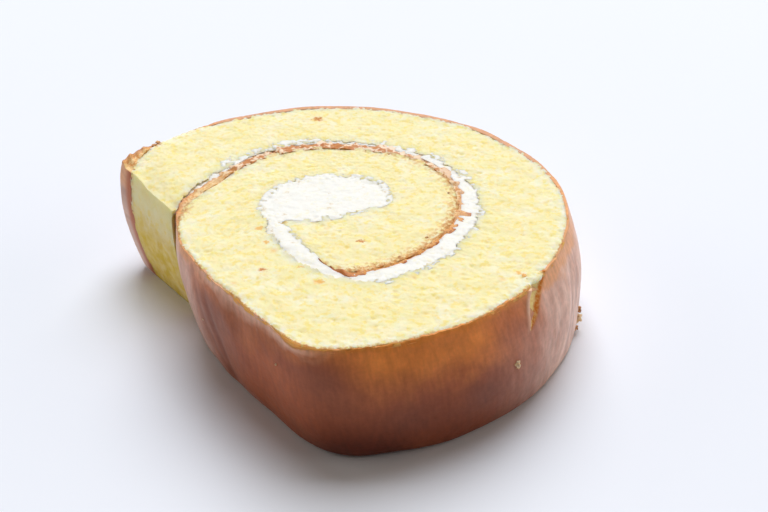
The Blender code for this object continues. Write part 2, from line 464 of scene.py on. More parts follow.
@dataclass(frozen=True)
class CrumbFinish(Finish):
    """Pale yellow sponge crumb: matt, fluffy, whiter at the bare rim and browner by the rolled-in skin; its
    pores and the flap's end carry painted light and shade.
    """

    pale: Colour = (0.97, 0.845, 0.48)
    # deep is painted shade in the pores, and the crumb's own deeper tone in the random dabs.
    deep: Colour = (0.97, 0.765, 0.24)
    milky: Colour = (0.98, 0.92, 0.74)
    amber: Colour = (0.86, 0.62, 0.29)
    toast: Colour = (0.60, 0.24, 0.07)
    rim: Colour = (0.96, 0.47, 0.13)
    orange: Colour = (0.92, 0.54, 0.18)
    # The next two colours are painted shade for the lower part of the flap's end and painted light for its
    # top.
    painted_end_shade: Colour = (0.76, 0.52, 0.07)
    painted_end_light: Colour = (1.0, 0.85, 0.43)
    milky_patches: Patches = Patches(4.5, 0.42, 0.7, most=0.55, roughness=0.5)
    milky_depth: Numbers = (0.5, 3.4, 0.9, 0.0)
    rim_grain: Patches = Patches(1.1, 0.35, 0.6)
    deep_dabs: Patches = Patches(1.6, 0.47, 0.66, most=0.72)
    fine_pores: Numbers = (0.8, 0.7)
    fine_pore_shade_strength: float = 0.3
    pore_shade_strength: float = 0.7
    toasted_pores: Numbers = (3.3, 0.07, 0.4)
    toasted_strength: float = 0.6
    baked_depth: Span = (4.4, 0.8)
    baked_edge: Patches = Patches(0.9, least=0.4, most=1.5)
    amber_share: Numbers = (0.0, 0.6, 0.0, 0.8)
    toast_share: Numbers = (0.45, 1.0)
    end_blotches: Patches = Patches(2.6, least=0.6)
    end_light_strength: float = 0.8
    strip_stain: Patches = Patches(0.9, 0.35, 0.6)
    strip_strength: float = 0.75
    spot_warp: float = 2.2
    spot_grain: float = 1.4
    spot_stretch: float = 0.8
    spot_core: float = 0.2
    orange_spots: Stations = (
        (-12.1, -4.3, 0.9), (-16.6, -6.4, 0.9), (-15.0, -11.2, 0.7), (-7.4, -13.6, 0.7), (-7.9, -19.5, 0.6),
        (-4.0, -24.3, 1.1), (33.0, -21.5, 0.9),
    )
    brown_spots: Stations = ((-14.8, -20.6, 0.9), (3.3, -10.9, 0.8), (-7.2, 38.3, 1.3), (-42.1, 27.0, 1.6))

    def colour(self, write: NodeWriter, spot: Socket) -> Socket:
        """Yellow, deeper in the pores as painted shade, milky in soft patches, baked by the skin, and with
        painted light and shade on the flap's end.

        Args:
            write: Writes the nodes.
            spot: The point, in millimetres.

        Returns:
            The colour there.
        """
        bare = write.mark("bare")
        depth = write.sheet_place()[1]
        near = write.rise(depth, *self.milky_depth)
        rim = write.times(write.times(near, write.patches(spot, self.rim_grain)), bare)
        milky = write.larger(write.patches(spot, self.milky_patches), rim)
        crumb = write.blend(milky, self.pale, self.milky)
        # The pores, both from the relief's pore depth and the finer ones, get the deeper yellow as painted
        # shade.
        fine = write.times(write.pores(spot, *self.fine_pores), self.fine_pore_shade_strength)
        pore = write.times(write.larger(write.mark("pore"), fine), self.pore_shade_strength)
        crumb = write.blend(write.larger(write.patches(spot, self.deep_dabs), pore), crumb, self.deep)
        toasted = write.times(write.pores(spot, *self.toasted_pores), self.toasted_strength)
        crumb = write.blend(toasted, crumb, self.orange)
        crumb = self.baked(write, spot, crumb)
        crumb = self.on_the_end(write, spot, crumb)
        crumb = write.blend(self.spots(write, spot, self.orange_spots), crumb, self.orange)
        return write.blend(self.spots(write, spot, self.brown_spots), crumb, self.toast)

    def baked(self, write: NodeWriter, spot: Socket, crumb: Socket) -> Socket:
        """The crumb with the browning that the skin leaves in it, deep under a turn and thin at the rim.

        Args:
            write: Writes the nodes.
            spot: The point, in millimetres.
            crumb: The colour so far.

        Returns:
            The browned colour.
        """
        reach = write.rise(write.mark("bare"), 0.0, 1.0, *self.baked_depth)
        reach = write.times(reach, write.patches(spot, self.baked_edge))
        whole = write.minus(1.0, write.mark("torn"))
        baked = write.times(write.rise(write.sheet_place()[1], 0.0, reach, 1.0, 0.0), whole)
        crumb = write.blend(write.rise(baked, *self.amber_share), crumb, self.amber)
        toast = write.blend(write.mark("below_rim"), self.toast, self.rim)
        return write.blend(write.rise(baked, *self.toast_share), crumb, toast)

    def on_the_end(self, write: NodeWriter, spot: Socket, crumb: Socket) -> Socket:
        """The crumb as it is on the flap's end: painted light above, stained beside the skin and painted
        shade below.

        Args:
            write: Writes the nodes.
            spot: The point, in millimetres.
            crumb: The colour so far.

        Returns:
            The colour, which differs from the given one on the flap's end alone.
        """
        # Painted light near the top of the flap's end.
        light = write.times(write.mark("painted_light_high_on_end"), self.end_light_strength)
        crumb = write.blend(light, crumb, self.painted_end_light)
        stain = write.times(write.mark("by_strip"), write.patches(spot, self.strip_stain))
        crumb = write.blend(write.times(stain, self.strip_strength), crumb, self.orange)
        # Painted shade on the lower part of the flap's end, in random blotches.
        low = write.times(write.mark("painted_shade_low_on_end"), write.patches(spot, self.end_blotches))
        return write.blend(low, crumb, self.painted_end_shade)

    def spots(self, write: NodeWriter, spot: Socket, places: Stations) -> Socket:
        """How deep a point lies in the small stains of the cut face.

        Args:
            write: Writes the nodes.
            spot: The point.
            places: Each stain's place in plan and its radius.

        Returns:
            1 in the middle of a stain and 0 outside.
        """
        noise = {"Vector": spot, "Scale": self.spot_grain, "Detail": 3.0}
        uneven = write.add("ShaderNodeTexNoise", noise).outputs["Color"]
        shift = write.scaled(write.vector("SUBTRACT", uneven, (0.5, 0.5, 0.5)), self.spot_warp)
        flat = write.vector("MULTIPLY", write.vector("ADD", spot, shift), (self.spot_stretch, 1.0, 0.0))
        inside: object = 0.0
        for x, y, radius in places:
            ends = {0: flat, 1: (self.spot_stretch * x, y, 0.0)}
            far = write.add("ShaderNodeVectorMath", ends, operation="DISTANCE").outputs["Value"]
            inside = write.larger(inside, write.rise(far, self.spot_core * radius, radius, 1.0, 0.0))
        return inside

    def relief(self, write: NodeWriter, spot: Socket) -> Socket:
        """Pores finer than the mesh, and a rough grain."""
        fine = write.times(write.pores(spot, *self.fine_pores), -0.5)
        return write.plus(fine, write.noise(spot, 0.45, 3.0, 0.65))


@dataclass(frozen=True)
class SkinFinish(Finish):
    """Browned skin: a satin red brown wall, amber under the rim (partly painted glow), painted shade and
    sheen, and a clumpy line between the turns.
    """

    brown: Colour = (0.46, 0.115, 0.036)
    # amber is partly the skin's own lighter colour under the rim and partly painted glow of light through
    # the thin rim.
    amber: Colour = (0.98, 0.31, 0.06)
    # red is the skin's own darker tone in random patches, and also the painted shade at the foot and in the
    # creases.
    red: Colour = (0.15, 0.027, 0.010)
    # Painted sheen: the whitish mauve that grazing light gives the wall's sides.
    painted_sheen: Colour = (0.93, 0.62, 0.50)
    lip: Colour = (0.95, 0.60, 0.42)
    burnt: Colour = (0.15, 0.06, 0.045)
    rim: Colour = (0.80, 0.25, 0.035)
    rim_light: Colour = (0.84, 0.50, 0.36)
    rim_crumb: Colour = (0.80, 0.34, 0.07)
    rim_tan: Colour = (0.88, 0.45, 0.23)
    rim_far: Colour = (0.68, 0.40, 0.29)
    tan: Colour = (0.95, 0.76, 0.56)
    clump: Colour = (0.64, 0.27, 0.08)
    dark: Colour = (0.52, 0.17, 0.05)
    crumbly: Colour = (0.93, 0.70, 0.33)
    start: Colour = (0.50, 0.13, 0.03)
    line_light: Colour = (0.90, 0.52, 0.18)
    line_orange: Colour = (0.78, 0.34, 0.08)
    cream_yellow: Colour = (1.0, 0.80, 0.34)
    # torn: the tear's torn crust colour, darkened as painted shade of its inner face.
    torn: Colour = (0.62, 0.17, 0.008)
    top: float = 25.4
    torn_edge: Patches = Patches(0.7, least=-0.35, most=0.25)
    warm_patches: Patches = Patches(14.0, 0.35, 0.65, -0.3, 0.3, detail=2.0, roughness=0.5)
    amber_foot: Patches = Patches(4.0, least=10.0, most=14.0, roughness=0.5)
    red_patches: Patches = Patches(18.0, 0.42, 0.7, most=0.5, detail=2.0, roughness=0.5)
    red_by_warmth: Numbers = (0.8, 1.8, 1.0, 0.3)
    painted_foot_shade: Numbers = (19.0, 1.0, 0.0, 0.9)
    stripe_squeeze: float = 3.0
    stripes: Patches = Patches(7.0, least=0.7, most=1.12, roughness=0.5)
    fading: Span = (2.0, 11.0)
    least_faded: Numbers = (0.4, 0.6, 0.35, 1.0)
    rim_noise: Numbers = (4.0, 3.0)
    rim_reach: tuple[Numbers, Numbers] = ((0.6, 2.4, 4.0), (2.4, 5.0, 7.0))
    pale_from: Span = (0.3, 1.0)
    rim_held: Span = (0.05, 0.5)
    rim_strength: float = 0.92
    crumb_band: Patches = Patches(0.9, 0.35, 0.65, 0.1, 0.7)
    crumb_strength: float = 0.45
    streak_squeeze: float = 4.0
    streaks: Patches = Patches(3.0, 0.2, 0.8, 0.86, 1.1, detail=2.0, roughness=0.5)
    mottling: Patches = Patches(0.7, 0.2, 0.8, 0.94, 1.06, detail=2.0, roughness=0.5)
    edge_wander: Patches = Patches(0.8, least=-0.25, most=0.25, roughness=0.7)
    edge_depth: Span = (0.0, 0.45)
    light_grain: Patches = Patches(0.4, 0.4, 0.62, detail=2.0)
    orange_grain: Patches = Patches(0.8, 0.38, 0.62, most=0.8, roughness=0.7)
    specks: Patches = Patches(0.55, 0.5, 0.6, most=0.85, detail=2.0)
    speck_depth: Numbers = (0.3, 1.4, -0.2, 0.12)
    tan_clumps: Patches = Patches(1.7, 0.49, 0.58, roughness=0.65)
    clump_depth: Numbers = (0.3, 1.6, -0.10, 0.07)
    dark_grain: Patches = Patches(0.8, 0.4, 0.65, roughness=0.7)

    def colour(self, write: NodeWriter, spot: Socket) -> Socket:
        """The wall where it is bare, and the brown line where a turn lies over it.

        Args:
            write: Writes the nodes.
            spot: The point, in millimetres.

        Returns:
            The colour there.
        """
        run, depth, height = write.sheet_place()
        wall = self.wall(write, write.joined(run, 0.0, height))
        colour = write.blend(write.mark("bare"), self.line(write, spot, depth), wall)
        colour = write.blend(write.mark("start"), colour, self.start)
        # Inside the tear: yellow crumb on its left side, and on its right the dark torn colour, partly
        # painted shade.
        side = write.plus(write.mark("torn_side"), write.patches(spot, self.torn_edge))
        side = write.blend(side, self.cream_yellow, self.torn)
        colour = write.blend(write.mark("torn"), colour, side)
        return write.blend(write.mark("lip"), colour, self.lip)

    def upright(self, write: NodeWriter, flat: Socket, squeeze: float) -> Socket:
        """The places with their run squeezed, so that the patches read there stand upright."""
        run, _, height = write.split(flat)
        return write.joined(write.times(run, squeeze), 0.0, height)

    def wall(self, write: NodeWriter, flat: Socket) -> Socket:
        """Soft patches, amber above (partly painted glow), painted shade towards the foot and in the
        creases, and painted sheen, under a thin edge at the rim.

        Args:
            write: Writes the nodes.
            flat: The point's run along the sheet and its height, in millimetres.

        Returns:
            The colour of the bare wall.
        """
        height = write.split(flat)[2]
        # Amber towards the rim, the skin's lighter colour and partly painted glow, as strong as the mark
        # warm says.
        warm = write.plus(write.mark("warm"), write.patches(flat, self.warm_patches))
        high = write.rise(height, write.patches(flat, self.amber_foot), self.top)
        skin = write.blend(write.times(warm, high), self.brown, self.amber)
        red = write.times(write.patches(flat, self.red_patches), write.rise(warm, *self.red_by_warmth))
        skin = write.blend(red, skin, self.red)
        # Painted shade: darker towards the foot, as strong as the mark shade says round the wall.
        low = write.times(write.rise(height, *self.painted_foot_shade), write.mark("shade"))
        skin = write.blend(low, skin, self.red)
        pale, below = write.mark("pale"), write.minus(self.top, height)
        faded = write.rise(below, *self.fading, write.rise(pale, *self.least_faded), 1.0)
        stripes = write.patches(self.upright(write, flat, self.stripe_squeeze), self.stripes)
        # Painted sheen where the mark pale says, in faint stripes, fading down from the rim.
        skin = write.blend(write.times(pale, write.times(stripes, faded)), skin, self.painted_sheen)
        skin = write.blend(write.mark("burnt"), skin, self.burnt)
        # Painted shade in the creases.
        skin = write.blend(write.mark("crease"), skin, self.red)
        skin = self.rimmed(write, flat, skin)
        shade = write.patches(self.upright(write, flat, self.streak_squeeze), self.streaks)
        shade = write.times(shade, write.patches(flat, self.mottling))
        return write.blend(1.0, skin, write.joined(shade, shade, shade), "MULTIPLY")

    def rimmed(self, write: NodeWriter, flat: Socket, skin: Socket) -> Socket:
        """The wall with its lighter edge under the rim: narrow where it is brown, and broad where the
        painted sheen (the mark pale) lies.

        Args:
            write: Writes the nodes.
            flat: The point's run along the sheet and its height, in millimetres.
            skin: The wall's colour so far.

        Returns:
            The colour with the edge.
        """
        pale, fringe = write.mark("pale"), write.mark("fringe")
        below = write.minus(self.top, write.split(flat)[2])
        narrow, broad = (
            write.rise(pale, *self.pale_from, write.rise(fringe, 0.0, 1.0, brown, fringed), light)
            for brown, fringed, light in self.rim_reach
        )
        reach = write.rise(write.noise(flat, *self.rim_noise), 0.3, 0.7, narrow, broad)
        held = write.times(reach, write.rise(pale, *self.pale_from, *self.rim_held))
        edge = write.rise(below, held, reach, self.rim_strength, 0.0)
        rim = write.blend(pale, write.blend(fringe, self.rim, self.rim_light), self.rim_tan)
        rim = write.blend(write.mark("far"), rim, self.rim_far)
        skin = write.blend(edge, skin, rim)
        band = write.rise(below, 0.1, write.patches(flat, self.crumb_band), self.crumb_strength, 0.0)
        return write.blend(band, skin, self.rim_crumb)

    def line(self, write: NodeWriter, spot: Socket, depth: Socket) -> Socket:
        """Orange by the crumb, dark at its edge in front, and broken clumps at the back.

        Args:
            write: Writes the nodes.
            spot: The point, in millimetres.
            depth: How far it lies under the browned face.

        Returns:
            The colour of the brown line.
        """
        edge = write.rise(write.plus(depth, write.patches(spot, self.edge_wander)), *self.edge_depth)
        front = write.blend(write.patches(spot, self.light_grain), self.clump, self.line_light)
        front = write.blend(write.patches(spot, self.orange_grain), front, self.line_orange)
        front = write.blend(edge, self.dark, front)
        specks = write.patches(spot, self.specks, write.rise(depth, *self.speck_depth))
        front = write.blend(specks, front, self.crumbly)
        clumps = write.patches(spot, self.tan_clumps, write.rise(depth, *self.clump_depth))
        grain = write.blend(write.patches(spot, self.dark_grain), self.clump, self.dark)
        return write.blend(write.mark("broken"), front, write.blend(clumps, self.tan, grain))

    def relief(self, write: NodeWriter, spot: Socket) -> Socket:
        """A fine leathery grain."""
        return write.noise(spot, 0.5, 3.0, 0.6)


@dataclass(frozen=True)
class CreamFinish(Finish):
    """Whipped cream: off white, soft and slightly airy."""

    white: Colour = (0.95, 0.93, 0.855)
    shade: Colour = (0.92, 0.87, 0.69)
    fleck: Colour = (0.66, 0.52, 0.32)
    wisps: Patches = Patches(1.3, 0.52, 0.72, most=0.8, roughness=0.65)
    fleck_warp: Span = (1 / 1.5, 1.5)
    fleck_pores: Numbers = (2.2, 0.4, 0.35)
    fleck_strength: float = 0.8

    def colour(self, write: NodeWriter, spot: Socket) -> Socket:
        """White with faint yellower wisps and a few flecks.

        Args:
            write: Writes the nodes.
            spot: The point, in millimetres.

        Returns:
            The colour there.
        """
        cream = write.blend(write.patches(spot, self.wisps), self.white, self.shade)
        flecks = write.pores(write.warped(spot, *self.fleck_warp), *self.fleck_pores)
        return write.blend(write.times(flecks, self.fleck_strength), cream, self.fleck)

    def relief(self, write: NodeWriter, spot: Socket) -> Socket:
        """Small air bubbles and streaks."""
        holes = write.times(write.pores(spot, 0.8, 0.35), -0.6)
        return write.plus(write.noise(spot, 0.6, 3.0, 0.6), holes)


@dataclass(frozen=True, kw_only=True)
class PlainFinish(Finish):
    """Two near colours in soft patches, as on the loose crumbs and on the floor."""

    light: Colour
    dark: Colour
    change: Patches = Patches(0.9, 0.35, 0.65, detail=2.0, roughness=0.5)

    def colour(self, write: NodeWriter, spot: Socket) -> Socket:
        """Light to dark from place to place."""
        return write.blend(write.patches(spot, self.change), self.light, self.dark)

    def relief(self, write: NodeWriter, spot: Socket) -> Socket:
        """A rough grain."""
        return write.noise(spot, 0.3, 3.0, 0.7)


CRUMB = CrumbFinish("sponge crumb", Slot.SPONGE, 0.9, 0.15, glow=0.75, glow_depth=2.3,
                    glow_colour=(1.0, 0.8, 0.5), bump=0.06)
SKIN = SkinFinish("browned skin", Slot.SKIN, 0.45, 0.25, glow=0.04, sheen=0.15, bump=0.03)
CREAM = CreamFinish("whipped cream", Slot.CREAM, 0.5, 0.3, glow=1.0, glow_depth=0.7,
                    glow_colour=(1.0, 0.95, 0.88), bump=0.06)
PALE_CRUMBS = PlainFinish("pale crumbs", Slot.SPONGE, 0.9, 0.15, bump=0.03,
                          light=(0.93, 0.74, 0.50), dark=(0.86, 0.56, 0.28))
BROWN_CRUMBS = PlainFinish("brown crumbs", Slot.SKIN, 0.7, 0.3, bump=0.05,
                           light=(0.78, 0.44, 0.18), dark=(0.46, 0.19, 0.08))
ORANGE_CRUMBS = PlainFinish("orange crumbs", Slot.SPONGE, 0.8, 0.2, bump=0.03,
                            light=(0.93, 0.60, 0.22), dark=(0.80, 0.38, 0.12))
FLOOR = PlainFinish("floor", Slot.SPONGE, 0.8, 0.1, light=(0.852, 0.895, 0.965), dark=(0.81, 0.84, 0.90),
                    change=Patches(60.0, most=0.04, detail=2.0, roughness=0.5))


class Recipe:
    """A Geometry Nodes tree with named inputs, which is run once on an object's mesh."""

    sharp_fold = 1.0

    def __init__(self, name: str) -> None:
        """Starts a tree that takes and gives geometry.

        Args:
            name: Name of the tree.
        """
        self.tree = bpy.data.node_groups.new(name, "GeometryNodeTree")
        self.write = NodeWriter(self.tree)
        self.values: dict[str, object] = {}
        for way in ("INPUT", "OUTPUT"):
            self.tree.interface.new_socket("Geometry", in_out=way, socket_type="NodeSocketGeometry")
        self.given = self.write.add("NodeGroupInput")

    def ask(self, name: str, kind: Kind, value: object) -> Socket:
        """Adds a named input.

        Args:
            name: What the input is called.
            kind: What it takes.
            value: What this run gives it.

        Returns:
            The socket that holds the value inside the tree.
        """
        made = self.tree.interface.new_socket(name, in_out="INPUT", socket_type=kind.value)
        self.values[made.identifier] = value
        return self.given.outputs[name]

    def place(self) -> Socket:
        """The position of each point, as the tree has it so far."""
        return self.write.add("GeometryNodeInputPosition").outputs[0]

    def moved(self, shape: Socket, offset: Socket) -> Socket:
        """The shape with each point moved by an offset."""
        return self.write.add("GeometryNodeSetPosition", {"Geometry": shape, "Offset": offset}).outputs[0]

    def outward(self, shape: Socket, height: Socket) -> Socket:
        """The shape with each point moved out along its normal, by a height in millimetres."""
        normal = self.write.add("GeometryNodeInputNormal").outputs[0]
        return self.moved(shape, self.write.scaled(normal, self.write.times(height, METRES)))

    def mark(self, name: str) -> Socket:
        """A number that the mesh carries at each point."""
        kind = "GeometryNodeInputNamedAttribute"
        return self.write.add(kind, {"Name": name}, data_type="FLOAT").outputs[0]

    def end(self, shape: Socket, material: bpy.types.Material) -> None:
        """Ends the tree: smooth faces, instances made real, and the material set.

        Args:
            shape: The geometry so far.
            material: What it is made of.
        """
        given = self.ask("Material", Kind.MATERIAL, material)
        smooth = self.write.add("GeometryNodeSetShadeSmooth", {"Geometry": shape}).outputs[0]
        fold = self.write.add("GeometryNodeInputMeshEdgeAngle").outputs["Unsigned Angle"]
        sharp = self.write.math("GREATER_THAN", fold, self.sharp_fold)
        corners = {"Geometry": smooth, "Selection": sharp, "Shade Smooth": False}
        folded = self.write.add("GeometryNodeSetShadeSmooth", corners, domain="EDGE").outputs[0]
        real = self.write.add("GeometryNodeRealizeInstances", {"Geometry": folded}).outputs[0]
        dressed = self.write.add("GeometryNodeSetMaterial", {"Geometry": real, "Material": given})
        self.write.add("NodeGroupOutput", {"Geometry": dressed.outputs[0]})

    def run(self, obj: Thing) -> None:
        """Puts the tree on an object and keeps the mesh that it gives.

        Args:
            obj: The object.
        """
        modifier = obj.modifiers.new(self.tree.name, "NODES")
        modifier.node_group = self.tree
        for identifier, value in self.values.items():
            modifier[identifier] = value
        graph = bpy.context.evaluated_depsgraph_get()
        made = bpy.data.meshes.new_from_object(
            obj.evaluated_get(graph), preserve_all_data_layers=True, depsgraph=graph
        )
        obj.modifiers.remove(modifier)
        obj.data = made


class RollUp(Recipe):
    """Rolls a flat sheet up along two guide lines, and then raises its fine relief."""

    seed_step = 7.3

    def __init__(self, name: str, plan: RollPlan, guides: Guides,
                 material: bpy.types.Material, seed: int) -> None:
        """Builds the tree.

        Args:
            name: Name of the tree.
            plan: The roll's measures.
            guides: The plan's crumb line and skin line.
            material: What the piece is made of.
            seed: Moves the random patterns.
        """
        super().__init__(name)
        self.seed = self.ask("Seed", Kind.COUNT, seed)
        raised = self.outward(self.rolled(plan, guides), self.relief())
        self.end(self.with_marks(raised), material)

    def on_guide(self, guide: Socket, along: Socket) -> Socket:
        """The point of a guide line at a place along the sheet.

        Args:
            guide: The line's object.
            along: The place.

        Returns:
            The point, between two of the line's own.
        """
        write = self.write
        line = write.add("GeometryNodeObjectInfo", {"Object": guide}).outputs["Geometry"]
        size = write.add("GeometryNodeAttributeDomainSize", {"Geometry": line}).outputs["Point Count"]
        at = write.times(along, write.minus(size, 1.0))
        lower = write.math("FLOOR", at)
        ends = [
            write.add(
                "GeometryNodeSampleIndex", {"Geometry": line, "Value": self.place(), "Index": index},
                data_type="FLOAT_VECTOR", clamp=True,
            ).outputs[0]
            for index in (lower, write.plus(lower, 1.0))
        ]
        return write.between(write.minus(at, lower), *ends)

    def rolled(self, plan: RollPlan, guides: Guides) -> Socket:
        """The sheet rolled up, standing, leaning and bulging.

        Args:
            plan: The roll's measures.
            guides: The plan's crumb line and skin line.

        Returns:
            The rolled geometry, in metres.
        """
        write = self.write
        along, across, share = write.split(self.place())
        flat = write.between(across, *(
            self.on_guide(self.ask(name, Kind.OBJECT, guide), along) for name, guide in guides.items()
        ))
        left = write.minus(1.0, share)
        spread = self.ask("Flap Spread", Kind.NUMBER, math.radians(plan.flap_spread))
        spread = write.times(spread, write.rise(along, 1 - plan.flap_run, 1.0))
        turned = {"Vector": flat, "Angle": write.times(spread, left)}
        flat = write.add("ShaderNodeVectorRotate", turned, rotation_type="Z_AXIS").outputs[0]
        x, y, _ = write.split(flat)
        direction = write.math("ABSOLUTE", write.math("ARCTAN2", y, x))
        least = self.ask("Least Bulge", Kind.NUMBER, plan.least_bulge)
        most = self.ask("Bulge", Kind.NUMBER, plan.bulge)
        bulge = write.rise(direction, 0.0, math.radians(plan.bulge_rise), least, most)
        arch = write.times(write.times(share, left), 4.0)
        swell = write.plus(write.times(bulge, arch), 1.0)
        lean = write.times(self.ask("Lean", Kind.NUMBER, plan.lean), left)
        height = write.times(self.ask("Height", Kind.NUMBER, plan.height), share)
        axis = self.ask("Roll Axis", Kind.VECTOR, (*plan.axis, 0.0))
        spot = write.vector("ADD", write.scaled(flat, swell), write.joined(lean, 0.0, height))
        spot = write.scaled(write.vector("ADD", spot, axis), METRES)
        inputs = {"Geometry": self.given.outputs["Geometry"], "Position": spot}
        return write.add("GeometryNodeSetPosition", inputs).outputs[0]

    def relief(self) -> Socket:
        """How far each point of the rolled sheet moves out, in millimetres.

        Returns:
            The height field, held back where the mark "open" is small.
        """
        write = self.write
        shift = write.scaled(write.joined(self.seed, self.seed, self.seed), self.seed_step)
        spot = write.vector("ADD", write.scaled(self.place(), 1 / METRES), shift)
        return write.times(self.height_field(spot), self.mark("open"))

    def height_field(self, spot: Socket) -> Socket:
        """Height of the fine relief at a spot, in millimetres."""
        raise NotImplementedError

    def with_marks(self, shape: Socket) -> Socket:
        """The shape with any marks that its finish reads."""
        return shape

    def uneven(self, spot: Socket, grain: float, height: Socket) -> Socket:
        """Noise about zero, of one grain and height."""
        swing = self.write.minus(self.write.noise(spot, grain, 2.0), 0.5)
        return self.write.times(self.write.times(swing, 2.0), height)


class RollCrumb(RollUp):
    """The sheet's crumb, with pores in its cut faces."""

    def height_field(self, spot: Socket) -> Socket:
        """Pores of two sizes, a torn grain and low swells.

        Args:
            spot: The point, in millimetres.

        Returns:
            Its height, in millimetres.
        """
        write = self.write
        wide = self.ask("Pore Size", Kind.NUMBER, 1.8)
        deep = self.ask("Pore Depth", Kind.NUMBER, 0.24)
        drawn = write.warped(spot, 1 / 1.1, 1.2)
        large = write.pores(drawn, wide, 0.6, 0.5)
        small = write.pores(drawn, write.times(wide, 0.5), 0.7, 0.55)
        self.pore = write.larger(large, write.times(small, 0.7))
        sunk = write.plus(large, write.times(small, 0.6))
        sunk = write.times(sunk, deep)
        rough = write.plus(self.uneven(spot, 0.8, self.ask("Grain Height", Kind.NUMBER, 0.17)),
                           self.uneven(spot, 4.0, self.ask("Swell Height", Kind.NUMBER, 0.3)))
        return write.minus(rough, sunk)

    def with_marks(self, shape: Socket) -> Socket:
        """Marks how far into a pore each point lies."""
        inputs = {"Geometry": shape, "Name": "pore", "Value": self.pore}
        return self.write.add("GeometryNodeStoreNamedAttribute", inputs, data_type="FLOAT").outputs[0]


class RollSkin(RollUp):
    """The browned skin, with low swells and a leathery grain."""

    def height_field(self, spot: Socket) -> Socket:
        """Fine wrinkles on low swells."""
        grain = self.uneven(spot, 1.1, self.ask("Grain Height", Kind.NUMBER, 0.05))
        return self.write.plus(grain, self.uneven(spot, 4.5, self.ask("Swell Height", Kind.NUMBER, 0.12)))


class Whip(Recipe):
    """Raises the soft streaks and lumps of whipped cream that a knife went through."""

    def __init__(self, material: bpy.types.Material, seed: int) -> None:
        """Builds the tree.

        Args:
            material: What the cream is made of.
            seed: Moves the pattern.
        """
        super().__init__("whipped cream")
        write = self.write
        turn = self.ask("Seed", Kind.COUNT, seed)
        spot = write.vector("ADD", write.scaled(self.place(), 1 / METRES), write.joined(turn, turn, turn))
        drawn = write.vector("MULTIPLY", spot, (0.55, 1.0, 1.0))
        wide = write.minus(write.noise(drawn, 2.4, 1.0), 0.5)
        fine = write.minus(write.noise(drawn, 0.8, 2.0), 0.5)
        wide = write.times(wide, self.ask("Lump Height", Kind.NUMBER, 0.5))
        fine = write.times(fine, self.ask("Streak Height", Kind.NUMBER, 0.28))
        height = write.times(write.plus(wide, fine), self.mark("open"))
        self.end(self.outward(self.given.outputs["Geometry"], height), material)


class Scatter(Recipe):
    """Strews small uneven lumps over a surface, as many as its marks allow."""

    shapes = ((0.6, 0.6, 0.25), (1.0, 1.0, 0.5))
    turns = ((0.0, 0.0, 0.0), (0.5, 0.5, 6.3))
    roughness_grain = 0.45

    def __init__(self, name: str, per_square_mm: float, sizes: Span,
                 material: bpy.types.Material, seed: int) -> None:
        """Builds the tree.

        Args:
            name: Name of the tree.
            per_square_mm: Lumps on a square millimetre where the chance is 1.
            sizes: Smallest and largest radius.
            material: What the lumps are made of.
            seed: Settles the random draw.
        """
        super().__init__(name)
        write = self.write
        turn = self.ask("Seed", Kind.COUNT, seed)
        density = self.ask("Density", Kind.NUMBER, per_square_mm / METRES**2)
        density = write.times(self.mark("chance"), density)
        ground = {"Mesh": self.given.outputs["Geometry"], "Density": density, "Seed": turn}
        points = write.add("GeometryNodeDistributePointsOnFaces", ground)
        lump = write.add("GeometryNodeMeshIcoSphere", {"Radius": METRES, "Subdivisions": 2})
        small = self.ask("Smallest", Kind.NUMBER, sizes[0])
        large = self.ask("Largest", Kind.NUMBER, sizes[1])
        size = write.add("FunctionNodeRandomValue", {2: small, 3: large, "Seed": turn}, data_type="FLOAT")
        shape, rotation = (
            self.drawn(low, high, write.plus(turn, step))
            for step, (low, high) in enumerate((self.shapes, self.turns))
        )
        inputs = {"Points": points.outputs["Points"], "Instance": lump.outputs["Mesh"],
                  "Scale": write.scaled(shape, size.outputs[1]), "Rotation": rotation}
        placed = write.add("GeometryNodeInstanceOnPoints", inputs).outputs[0]
        real = write.add("GeometryNodeRealizeInstances", {"Geometry": placed}).outputs[0]
        swing = write.noise(write.scaled(self.place(), 1 / METRES), self.roughness_grain, 1.0)
        rough = write.times(write.minus(swing, 0.5), self.ask("Unevenness", Kind.NUMBER, 0.35))
        self.end(self.outward(real, rough), material)

    def drawn(self, low: Numbers, high: Numbers, seed: Socket) -> Socket:
        """A random vector for each lump, between two vectors."""
        limits = {"Min": low, "Max": high, "Seed": seed}
        return self.write.add("FunctionNodeRandomValue", limits, data_type="FLOAT_VECTOR").outputs[0]


def add_object(name: str, data: bpy.types.Mesh) -> Thing:
    """A new object, linked into the scene.

    Args:
        name: Its name.
        data: Its mesh.

    Returns:
        The object.
    """
    obj = bpy.data.objects.new(name, data)
    bpy.context.scene.collection.objects.link(obj)
    return obj


def settle(obj: Thing, finish: Finish, *nodes: str) -> None:
    """Makes a piece ride, lets it stand for solids, and logs it.

    Args:
        obj: The finished piece.
        finish: The finish that it wears; not used.
        nodes: The solids that it replaces.
    """
    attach(obj, "root")
    if nodes:
        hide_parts(*nodes)
    triangles = sum(len(face.vertices) - 2 for face in obj.data.polygons)
    LOG.info("%s: %d triangles", obj.name, triangles)


def write_marks(data: bpy.types.Mesh, **marks: Array) -> None:
    """Stores numbers or vectors on the points of a mesh.

    Args:
        data: The mesh.
        marks: One number or one vector for each point, by name.
    """
    for name, values in marks.items():
        kind, field = ("FLOAT", "value") if values.ndim == 1 else ("FLOAT_VECTOR", "vector")
        mark = data.attributes.new(name, kind, "POINT")
        mark.data.foreach_set(field, values.astype(np.float32).ravel())


def points_of(data: bpy.types.Mesh) -> Array:
    """The points of a mesh.

    Args:
        data: The mesh.

    Returns:
        One row for each point.
    """
    flat = np.empty(3 * len(data.vertices))
    data.vertices.foreach_get("co", flat)
    return flat.reshape(-1, 3)


def place_points(data: bpy.types.Mesh, points: Array) -> None:
    """Moves the points of a mesh."""
    data.vertices.foreach_set("co", points.astype(np.float32).ravel())
    data.update()


